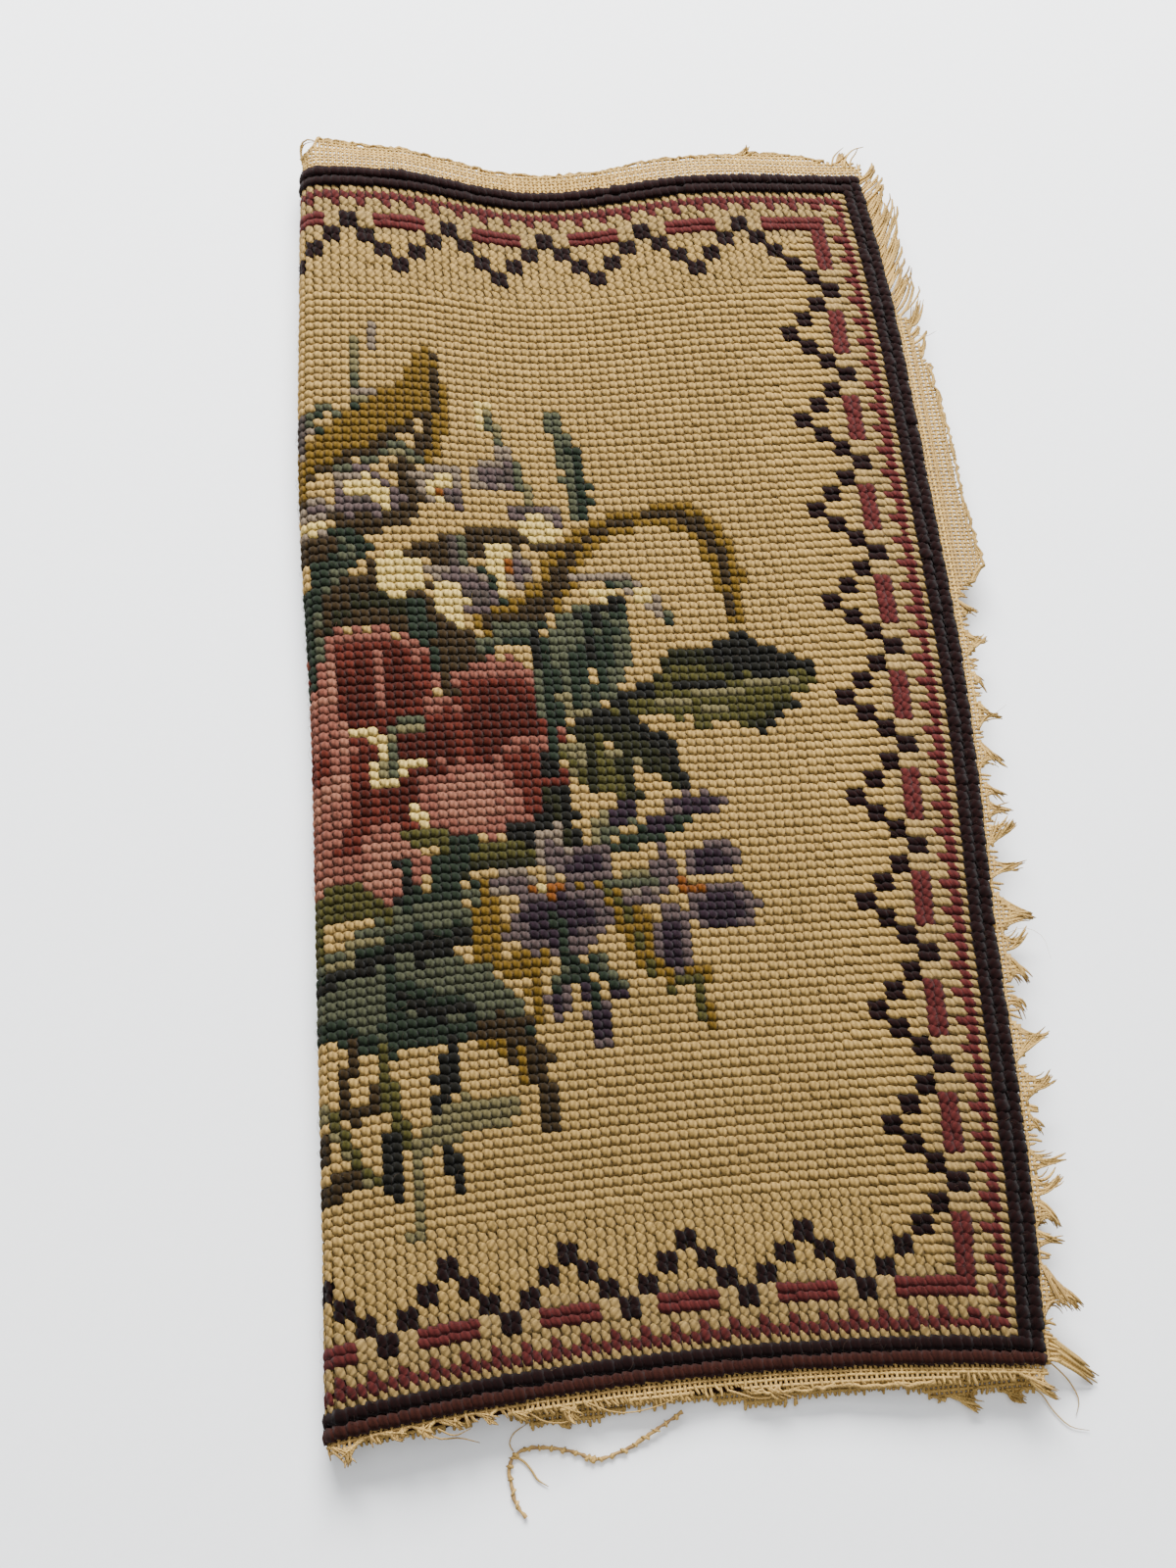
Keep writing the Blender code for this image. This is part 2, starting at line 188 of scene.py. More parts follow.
class FoldedSheet:
    """The middle surface of the sheet, read at s across from the fold and v down from the top.

    s is measured along the cloth from the fold's outermost line: positive on the upper half,
    negative on the lower one.
    """

    REACH = 205.0
    OVERHANG = 18.0
    DOWN_STEP = 3.0
    FINE_POINTS = 1600

    def __init__(self):
        self.v = np.arange(-self.OVERHANG, FIELD + self.OVERHANG, self.DOWN_STEP)
        self.s = np.arange(-self.REACH, self.REACH + 0.1, 1.0)
        share = np.clip(self.v / FIELD, 0, 1)
        rows = smooth([row.at for row in SECTIONS], [row[1:] for row in SECTIONS], share)
        self.widths = rows[:, 1]
        self.points = np.array([self.section(Section(0, *row), v) for row, v in zip(rows, self.v)])

    def section(self, row, v):
        """Points of one cross-section, one for each s."""
        lower = WORKED_THICK / 2
        turn_top = lower + (row.crest - lower) * FOLD_ROUND
        radius = (turn_top - lower) / 2
        turn = [(radius - radius * math.cos(a), lower + radius + radius * math.sin(a))
                for a in np.radians((-60, -30, 0, 30, 60))]
        beyond = row.width + self.OVERHANG + 10
        route = [(beyond, lower), (TURN_REACH * 2, lower), (TURN_REACH, lower), (radius, lower)]
        route += turn
        route += [(radius * 1.15, turn_top), (CREST_AT, row.crest), (HOLLOW_AT, row.hollow),
                  (RISE_AT, row.rise), (row.width - 6, row.edge),
                  (beyond, row.edge - MARGIN_DROOP * 1.6)]
        route = np.array(route)
        knots = np.append(0, np.cumsum(np.sqrt(np.hypot(*np.diff(route, axis=0).T))))
        fine = smooth(knots, route, np.linspace(0, knots[-1], self.FINE_POINTS))
        along = np.append(0, np.cumsum(np.hypot(*np.diff(fine, axis=0).T)))
        outermost = np.argmin(fine[:, 0])
        x = np.interp(self.s + along[outermost], along, fine[:, 0]) + row.fold_x
        z = np.interp(self.s + along[outermost], along, fine[:, 1])
        past_end = np.maximum(0, np.maximum(-v, v - FIELD))
        droop = MARGIN_DROOP * (past_end / 10) ** 2 * np.clip(self.s / 20, 0, 1)
        z = z - droop
        return np.stack([x, self.thread_y(row, v), z], axis=1)

    def thread_y(self, row, v):
        """How far up the panel the thread at v lies, for each s."""
        f = np.clip(self.s / row.width, 0, 1.1)
        bow = row.fold_y * (1 - f) * (1 - 2 * f) + row.mid_y * 4 * f * (1 - f)
        bow = bow + row.edge_y * f * (2 * f - 1)
        settle = np.clip(-self.s / LOWER_SETTLE, 0, 1)
        settle = settle * settle * (3 - 2 * settle)
        bow = np.where(self.s < 0, row.fold_y * (1 - settle) + LOWER_SLIP * settle, bow)
        return FIELD / 2 - v + bow

    def at(self, s, v):
        """Places of the middle surface, in millimetres, for arrays of s and v."""
        s, v = np.broadcast_arrays(np.asarray(s, float), np.asarray(v, float))
        across = np.clip(s - self.s[0], 0, len(self.s) - 1.001)
        down = np.clip((v - self.v[0]) / self.DOWN_STEP, 0, len(self.v) - 1.001)
        column = across.astype(int)
        row = down.astype(int)
        part_across = (across - column)[..., None]
        part_down = (down - row)[..., None]
        top = self.points[row, column] * (1 - part_across) + self.points[row, column + 1] * part_across
        low = self.points[row + 1, column] * (1 - part_across)
        low = low + self.points[row + 1, column + 1] * part_across
        return top * (1 - part_down) + low * part_down

    def normal(self, s, v):
        """Unit normals that point out of the stitched front."""
        reach = 1.5
        across = self.at(s + reach, v) - self.at(s - reach, v)
        down = self.at(s, v + reach) - self.at(s, v - reach)
        normals = np.cross(down, across)
        return normals / np.linalg.norm(normals, axis=-1, keepdims=True)

    def lifted(self, s, v, height):
        """Places at a height over the middle surface, on its stitched side, and never under the floor."""
        places = self.at(s, v) + self.normal(s, v) * np.asarray(height, float)[..., None]
        places[..., 2] = np.maximum(places[..., 2], 0)
        return places

    def width(self, v):
        return np.interp(v, self.v, self.widths)


SHEET = FoldedSheet()


def to_frame(points):
    """Millimetres from the fold line and the field's middle, turned into places in the frame."""
    return (np.asarray(points, float) - (ORIGIN_X, ORIGIN_Y, 0)) * MM


def across_at(column, v):
    """s of a column of stitches, counted from the right edge, in the row at v."""
    upper = SHEET.width(v) * (1 - column / FOLD_COLUMN)
    lower = -LOWER_WIDTH * (column - FOLD_COLUMN) / (STITCHES - FOLD_COLUMN)
    return np.where(column < FOLD_COLUMN, upper, lower)


# The camera comes first, at the photograph's angle
def make_camera():
    look = Vector(CAMERA_LOOK).normalized()
    side = look.cross(Vector(CAMERA_UP)).normalized()
    up = side.cross(look)
    data = bpy.data.cameras.new("camera")
    data.lens = CAMERA_LENS
    data.clip_start = 0.01
    data.clip_end = 20
    camera = bpy.data.objects.new("camera", data)
    turned = Matrix((side, up, -look)).transposed().to_4x4()
    camera.matrix_world = Matrix.Translation(CAMERA_PLACE) @ turned
    bpy.context.scene.collection.objects.link(camera)
    bpy.context.scene.camera = camera


class Value:
    """A number in a material, so that sums are written as plain expressions."""

    def __init__(self, surface, socket):
        self.surface = surface
        self.socket = socket

    def math(self, operation, *others):
        inputs = dict(enumerate((self, *others)))
        return self.surface.node("ShaderNodeMath", {"operation": operation}, inputs)

    def __add__(self, other):
        return self.math("ADD", other)

    def __sub__(self, other):
        return self.math("SUBTRACT", other)

    def __mul__(self, other):
        return self.math("MULTIPLY", other)

    __radd__ = __add__

    def sine(self):
        return self.math("SINE")

    def power(self, exponent):
        return self.math("POWER", exponent)

    def limited(self):
        """Kept between 0 and 1."""
        return self.surface.node("ShaderNodeClamp", {}, {0: self})


class Surface:
    """A material and its nodes."""

    def __init__(self, name):
        self.material = bpy.data.materials.new(name)
        self.material.use_nodes = True
        self.tree = self.material.node_tree
        self.shader = self.tree.nodes["Principled BSDF"]

    def node(self, kind, settings, inputs, output=0):
        """Add a node, set its settings and then its sockets, and return one of its outputs."""
        made = self.tree.nodes.new(kind)
        for name, value in settings.items():
            setattr(made, name, value)
        for name, value in inputs.items():
            self.join(made.inputs[name], value)
        return Value(self, made.outputs[output])

    def join(self, socket, value):
        if isinstance(value, Value):
            self.tree.links.new(value.socket, socket)
        else:
            socket.default_value = value

    def finish(self, sockets):
        for name, value in sockets.items():
            self.join(self.shader.inputs[name], value)
        return self.material

    def shade(self, colour, amount):
        """A colour made darker or lighter by a number."""
        grey = self.node("ShaderNodeCombineColor", {}, {0: amount, 1: amount, 2: amount})
        inputs = {0: 1.0, 6: colour, 7: grey}
        return self.node("ShaderNodeMix", {"data_type": "RGBA", "blend_type": "MULTIPLY"}, inputs, 2)


YARN_COLOUR = "yarn"


def spun(name, turns, plies, twist_shade, fibre_size, bump, sheen):
    """Spun yarn: its own colour from an attribute, a twist that runs round it, and loose fibres."""
    surface = Surface(name)
    colour = surface.node("ShaderNodeAttribute", {"attribute_name": YARN_COLOUR}, {})
    spot = surface.node("ShaderNodeTexCoord", {}, {}, "Object")
    on_yarn = surface.node("ShaderNodeTexCoord", {}, {}, "UV")
    along = surface.node("ShaderNodeSeparateXYZ", {}, {0: on_yarn}, 0)
    around = surface.node("ShaderNodeSeparateXYZ", {}, {0: on_yarn}, 1)
    twist = ((along * turns + around * plies) * (2 * math.pi)).sine() * 0.5 + 0.5
    fibres = surface.node("ShaderNodeTexNoise", {}, {"Vector": spot, "Scale": fibre_size, "Detail": 4.0,
                                                     "Roughness": 0.7})
    patches = surface.node("ShaderNodeTexNoise", {}, {"Vector": spot, "Scale": 28.0, "Detail": 2.0})
    # The twist's grooves are painted darker, as painted shade in the yarn's grooves; the fibres and patches
    # vary its tone at random.
    groove_shade_and_tone = (1 - twist_shade) + twist.power(0.7) * twist_shade
    groove_shade_and_tone = groove_shade_and_tone * (fibres * 1.3 + 0.4) * (patches * 0.24 + 0.92)
    height = twist * 0.7 + fibres * 0.6
    relief = surface.node("ShaderNodeBump", {}, {"Strength": bump, "Distance": 0.0002, "Height": height})
    return surface.finish({"Base Color": surface.shade(colour, groove_shade_and_tone), "Normal": relief, "Roughness": 0.92,
                           "Specular IOR Level": 0.04, "Sheen Weight": sheen, "Sheen Roughness": 0.6})


def floor_surface():
    """Smooth pale board, a little cool."""
    surface = Surface("pale_board")
    spot = surface.node("ShaderNodeTexCoord", {}, {}, "Object")
    grain = surface.node("ShaderNodeTexNoise", {}, {"Vector": spot, "Scale": 400.0, "Detail": 2.0})
    colour = surface.node("ShaderNodeMix", {"data_type": "RGBA"},
                          {0: grain, 6: (0.81, 0.82, 0.83, 1.0), 7: (0.84, 0.85, 0.86, 1.0)}, 2)
    return surface.finish({"Base Color": colour, "Roughness": 0.8, "Specular IOR Level": 0.1})


# A template of a closed tube, made once for each number of rings and sides
Tube = namedtuple("Tube", "ring angle faces corners")


@lru_cache(maxsize=None)
def tube_template(rings, sides):
    """The rings, angles and triangles of a closed tube. Its corners hold along and around for each."""
    bm = bmesh.new()
    bmesh.ops.create_cone(bm, cap_ends=True, segments=sides, radius1=1, radius2=1, depth=2)
    lengthways = [edge for edge in bm.edges if abs(edge.verts[0].co.z - edge.verts[1].co.z) > 1]
    if rings > 2:
        bmesh.ops.subdivide_edges(bm, edges=lengthways, cuts=rings - 2)
    bmesh.ops.triangulate(bm, faces=bm.faces)
    bmesh.ops.recalc_face_normals(bm, faces=bm.faces)
    places = np.array([vertex.co for vertex in bm.verts])
    faces = np.array([[vertex.index for vertex in face.verts] for face in indexed(bm).faces])
    bm.free()
    ring = np.rint((places[:, 2] + 1) / 2 * (rings - 1)).astype(int)
    angle = np.arctan2(places[:, 1], places[:, 0])
    around = angle[faces] / (2 * math.pi)
    wrapped = around.max(axis=1) - around.min(axis=1) > 0.5
    around[wrapped] = np.where(around[wrapped] < 0, around[wrapped] + 1, around[wrapped])
    along = ring[faces] / (rings - 1)
    return Tube(ring, angle, faces, np.stack([along, around], axis=2))


def indexed(bm):
    bm.verts.index_update()
    return bm


# Many yarns with the same number of rings: their centre points, half widths and half heights at
# each ring, the way that counts as up, their colours, how many times the twist repeats, and sides
Yarns = namedtuple("Yarns", "points wide high up colours length sides")


def made_of_yarns(name, groups, surface):
    """One piece of many closed yarns."""
    all_points = []
    all_faces = []
    all_colours = []
    all_corners = []
    start = 0
    for group in groups:
        tube = tube_template(group.points.shape[1], group.sides)
        points = group.points
        ahead = np.gradient(points, axis=1)
        ahead /= np.linalg.norm(ahead, axis=2, keepdims=True) + 1e-9
        side = np.cross(ahead, group.up)
        side /= np.linalg.norm(side, axis=2, keepdims=True) + 1e-9
        over = np.cross(side, ahead)
        out = side * group.wide[..., None]
        up = over * group.high[..., None]
        cosine = np.cos(tube.angle)[None, :, None]
        sine = np.sin(tube.angle)[None, :, None]
        placed = points[:, tube.ring] + out[:, tube.ring] * cosine + up[:, tube.ring] * sine
        placed[..., 2] = np.maximum(placed[..., 2], 0)
        copies, size = placed.shape[:2]
        shift = start + np.arange(copies)[:, None, None] * size
        all_points.append(placed.reshape(-1, 3))
        all_faces.append((tube.faces[None, :, ::-1] + shift).reshape(-1, 3))
        all_colours.append(group.colours[:, tube.ring].reshape(-1, 3))
        corners = np.broadcast_to(tube.corners[None, :, ::-1], (copies, *tube.corners.shape)).copy()
        corners[..., 0] *= group.length[:, None, None]
        all_corners.append(corners.reshape(-1, 2))
        start += copies * size
    mesh = bpy.data.meshes.new(name)
    mesh.from_pydata(to_frame(np.vstack(all_points)), [], np.vstack(all_faces).tolist())
    paint(mesh, np.vstack(all_colours))
    along_yarn = mesh.uv_layers.new(name="along_yarn")
    along_yarn.data.foreach_set("uv", np.vstack(all_corners).astype(np.float32).ravel())
    mesh.shade_smooth()
    return place_piece(name, mesh, surface)


def paint(mesh, colours):
    """Give each vertex its yarn colour."""
    layer = mesh.color_attributes.new(YARN_COLOUR, "FLOAT_COLOR", "POINT")
    whole = np.concatenate([colours, np.ones((len(colours), 1))], axis=1)
    layer.data.foreach_set("color", whole.astype(np.float32).ravel())


def place_piece(name, data, surface):
    data.materials.append(surface)
    made = bpy.data.objects.new(name, data)
    bpy.context.scene.collection.objects.link(made)
    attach(made, "root")
    return made


class Chart:
    """The yarn of each of the field's stitches, by row from the top and column from the right."""

    CENTRE = 70.5
    LINE_POINTS = 80
    VEIN = 0.22

    def __init__(self):
        self.names = list(YARNS)
        self.dyes = np.array([dyed(YARNS[name]) for name in self.names])
        self.yarn = np.zeros((STITCHES, STITCHES), int)
        rows, columns = np.mgrid[0:STITCHES, 0:STITCHES]
        self.x = np.abs(self.CENTRE - columns).astype(float)
        self.y = rows + 0.5
        self.ragged = np.random.default_rng(7).normal(0, 0.1, self.x.shape)

    def lay(self, where, yarn):
        self.yarn[where] = self.names.index(yarn)

    def edge_stitch(self, along, inward, yarn):
        """A stitch at its place along an edge and inward from it, on all four edges and mirrored."""
        for a in (along, STITCHES - 1 - along):
            for d in (inward, STITCHES - 1 - inward):
                self.yarn[d, a] = self.names.index(yarn)
                self.yarn[a, d] = self.names.index(yarn)

    def oval(self, x, y, wide, high, turn, yarns):
        """A petal: yarns are pairs of a colour and the share of the petal that it reaches out to."""
        c = math.cos(math.radians(turn))
        s = math.sin(math.radians(turn))
        across = ((self.x - x) * c + (self.y - y) * s) / wide
        down = ((self.y - y) * c - (self.x - x) * s) / high
        reach = np.hypot(across, down) + self.ragged * 0.8
        for yarn, share in reversed(yarns):
            self.lay(reach < share, yarn)

    def strip(self, points, widths, upper, lower=None, vein=None, patch=None):
        """A leaf or stem along a bent line. Its two sides may differ, and a vein may run between."""
        line = along_line(points, self.LINE_POINTS)
        widths = np.atleast_1d(widths)
        share = np.linspace(0, 1, self.LINE_POINTS)
        half = np.interp(share, np.linspace(0, 1, len(widths)), widths)
        gap_x = self.x[..., None] - line[:, 0]
        gap_y = self.y[..., None] - line[:, 1]
        gap = np.hypot(gap_x, gap_y)
        nearest = gap.argmin(axis=-1)
        way = np.gradient(line, axis=0)[nearest]
        pick = np.take_along_axis
        near_x = pick(gap_x, nearest[..., None], -1)[..., 0]
        near_y = pick(gap_y, nearest[..., None], -1)[..., 0]
        near = pick(gap, nearest[..., None], -1)[..., 0] / half[nearest]
        side = np.sign(way[..., 0] * near_y - way[..., 1] * near_x) * near + self.ragged
        inside = np.abs(side) < 1
        self.lay(inside & (side < 0), upper)
        self.lay(inside & (side >= 0), lower or upper)
        if patch:
            self.lay(inside & (side > patch[1]) & (side < patch[2]), patch[0])
        if vein:
            self.lay(inside & (np.abs(side) < self.VEIN), vein)


# The border, in stitches inward from the edge and along it from the corner
OUTER_ROWS = ("black_maroon", "black_maroon", "beige", "rose")
BEIGE_DEEP = 9
BORDER_DEEP = 16
TEETH_ROW = 4
TEETH_APART = 3
BAR_ROWS = (6, 7)
CORNER_BAR = range(6, 14)
FIRST_BAR = 23
BARS_APART = 12
BAR_HALF = 3
ZIGZAG_FROM = 17
ZIGZAG_NEAREST = 7
ZIGZAG_STEPS = 3
ZIGZAG_SQUARES = 31
ZIGZAG_CORNER = ((15, 9), (13, 11), (11, 13), (9, 15), (7, 17))


def work_border(chart):
    """The border is the same on all four edges: a dark band, beads, teeth, bars and a zigzag."""
    last = STITCHES // 2
    for along in range(last + 1):
        for inward in range(min(along + 1, BORDER_DEEP)):
            yarn = "beige" if inward < BEIGE_DEEP else "ground"
            chart.edge_stitch(along, inward, yarn)
    for along in range(last + 1):
        for inward, yarn in enumerate(OUTER_ROWS[:along + 1]):
            chart.edge_stitch(along, inward, yarn)
        if along >= TEETH_ROW and along % TEETH_APART == 0:
            chart.edge_stitch(along, TEETH_ROW, "rose")
    bars = list(CORNER_BAR)
    for centre in range(FIRST_BAR, last + BARS_APART, BARS_APART):
        bars += range(centre - BAR_HALF, min(centre + BAR_HALF, last + 1))
    for along in bars:
        for inward in BAR_ROWS:
            chart.edge_stitch(along, inward, "rose")
    squares = list(ZIGZAG_CORNER)
    for step in range(ZIGZAG_SQUARES):
        climb = ZIGZAG_STEPS - abs(step % (2 * ZIGZAG_STEPS) - ZIGZAG_STEPS)
        squares.append((ZIGZAG_FROM + 2 * step, ZIGZAG_NEAREST + 2 * climb))
    for along, inward in squares:
        for a in (along - 1, along):
            for d in (inward - 1, inward):
                chart.edge_stitch(a, d, "black_maroon")
    chart.lay(chart.y > STITCHES - 1, "brown_maroon")


# Leaves and stems of the bouquet, right of the middle and down from the top, in stitches. Each has
# its half widths along it, and a patch is a colour and the part of the width that it covers.
Leaf = namedtuple("Leaf", "points widths upper lower vein patch", defaults=(None, None, None))
BEHIND = (
    Leaf(((6.3, 24), (6.5, 28), (7, 32)), (0.6, 0.7), "sage", "grey_green"),
    Leaf(((8.3, 21.8), (8.7, 24.2)), (0.7, 0.6), "pale_lilac"),
    Leaf(((6.6, 31), (8.9, 31.8)), (0.9, 1.1), "pale_lilac", "sage"),
    Leaf(((1.6, 34.4), (2.6, 32.8), (4.5, 33.4), (4.6, 35.2), (3, 35.8)), (0.6, 0.7, 0.6), "grey_green",
         "dark_teal"),
    Leaf(((6.4, 33.2), (8.2, 33.6)), (0.8, 0.7), "dark_teal"),
    Leaf(((0.6, 33.6), (0.6, 38.4)), (0.9, 0.8), "pale_lilac", "smoky"),
    Leaf(((15.2, 27), (15.5, 33), (14.4, 38.8)), (0.9, 1.8, 1.3), "ochre", "dark_brown"),
    Leaf(((-0.8, 45.6), (0.4, 41.4), (4.2, 37.4), (9.2, 34.6), (13, 31.2), (14.6, 24.6)),
         (1, 1.8, 2.5, 3, 2.6, 0.7), "ochre", patch=("dark_brown", 0.62, 1.2)),
    Leaf(((21, 31.6), (20.6, 34)), (0.7, 0.6), "cream"),
    Leaf(((21.4, 33), (22.6, 36), (23.6, 39.4)), (0.6, 0.7), "sage", "grey_green"),
    Leaf(((24.6, 39.6), (25.2, 44.4)), 0.6, "sage", "grey_green"),
    Leaf(((29.6, 34.6), (30.6, 38), (31, 42), (31.4, 46.2)), (0.8, 1.3, 1.5, 1), "dark_teal",
         "grey_green"),
    Leaf(((28.8, 32.6), (30, 36.4)), (0.8, 1), "grey_green"),
    Leaf(((5.4, 49.6), (2.8, 53.4), (1.4, 59), (1, 67.8)), (1.1, 1.8, 1.8, 0.8), "grey_green",
         "dark_teal"),
    Leaf(((19.4, 60.2), (24, 58.6), (27.2, 55.4), (29.2, 51.6), (32.5, 48.8), (37.5, 47), (42.4, 46.8),
          (45.4, 50), (46.7, 55), (46.8, 60.6)), (1.3, 1.9, 2.3, 1.8, 1.2, 1.4, 2, 2.1, 1.5, 0.7), "ochre",
         patch=("dark_brown", -0.35, 0.4)),
    Leaf(((20, 60.4), (24.6, 59.2), (27, 57)), (1, 1.1, 0.5), "dark_brown"),
    Leaf(((12, 51.2), (16, 51.2), (20, 49.6), (24.5, 49.4), (28.6, 50.6)), (0.7, 2.1, 1.7, 1.1, 0.8),
         "dark_brown"),
    Leaf(((16.8, 49.8), (17.6, 54.2)), (1.2, 1), "grey_green", "smoky"),
    Leaf(((7.6, 52.2), (7.4, 56.2)), (0.6, 1.8), "dark_brown"),
    Leaf(((2.2, 60.8), (5, 57.4), (9.5, 57.6), (15, 60.8)), (1, 3.3, 3.4, 1.8), "dark_brown",
         vein="dark_olive"),
    Leaf(((14, 59.4), (15.8, 64), (15, 70)), (2.2, 2.7, 0.9), "dark_brown"),
    Leaf(((12.2, 58.4), (12.7, 65)), (1.2, 0.9), "dark_teal"),
)
BLOSSOM_LEAVES = (
    Leaf(((8.8, 39.2), (10.8, 37.8), (13, 39.4)), (0.6, 0.7), "grey_green", "sage"),
    Leaf(((4.6, 40.8), (8.2, 39.6)), 0.6, "grey_green"),
    Leaf(((11.4, 40.4), (12.2, 43.5), (11.6, 46.8)), (1.1, 1.4, 1.1), "dark_brown"),
    Leaf(((4.2, 46.6), (8, 47.6), (11.6, 46.8)), (0.8, 1.3, 0.9), "dark_brown"),
    Leaf(((4.2, 49.2), (6.4, 50.2), (4.6, 52.2)), (1, 1.3, 0.9), "dark_teal", "grey_green"),
    Leaf(((-0.4, 50.4), (2.8, 50.2)), (1.3, 1.2), "dark_brown"),
    Leaf(((20.2, 53.4), (21.4, 57.4)), (0.9, 0.8), "dark_teal"),
    Leaf(((33.2, 55.6), (36.2, 55.2)), 0.5, "dark_teal", "grey_green"),
    Leaf(((38, 57.8), (39.7, 60.4)), 0.5, "grey_green", "dark_teal"),
)
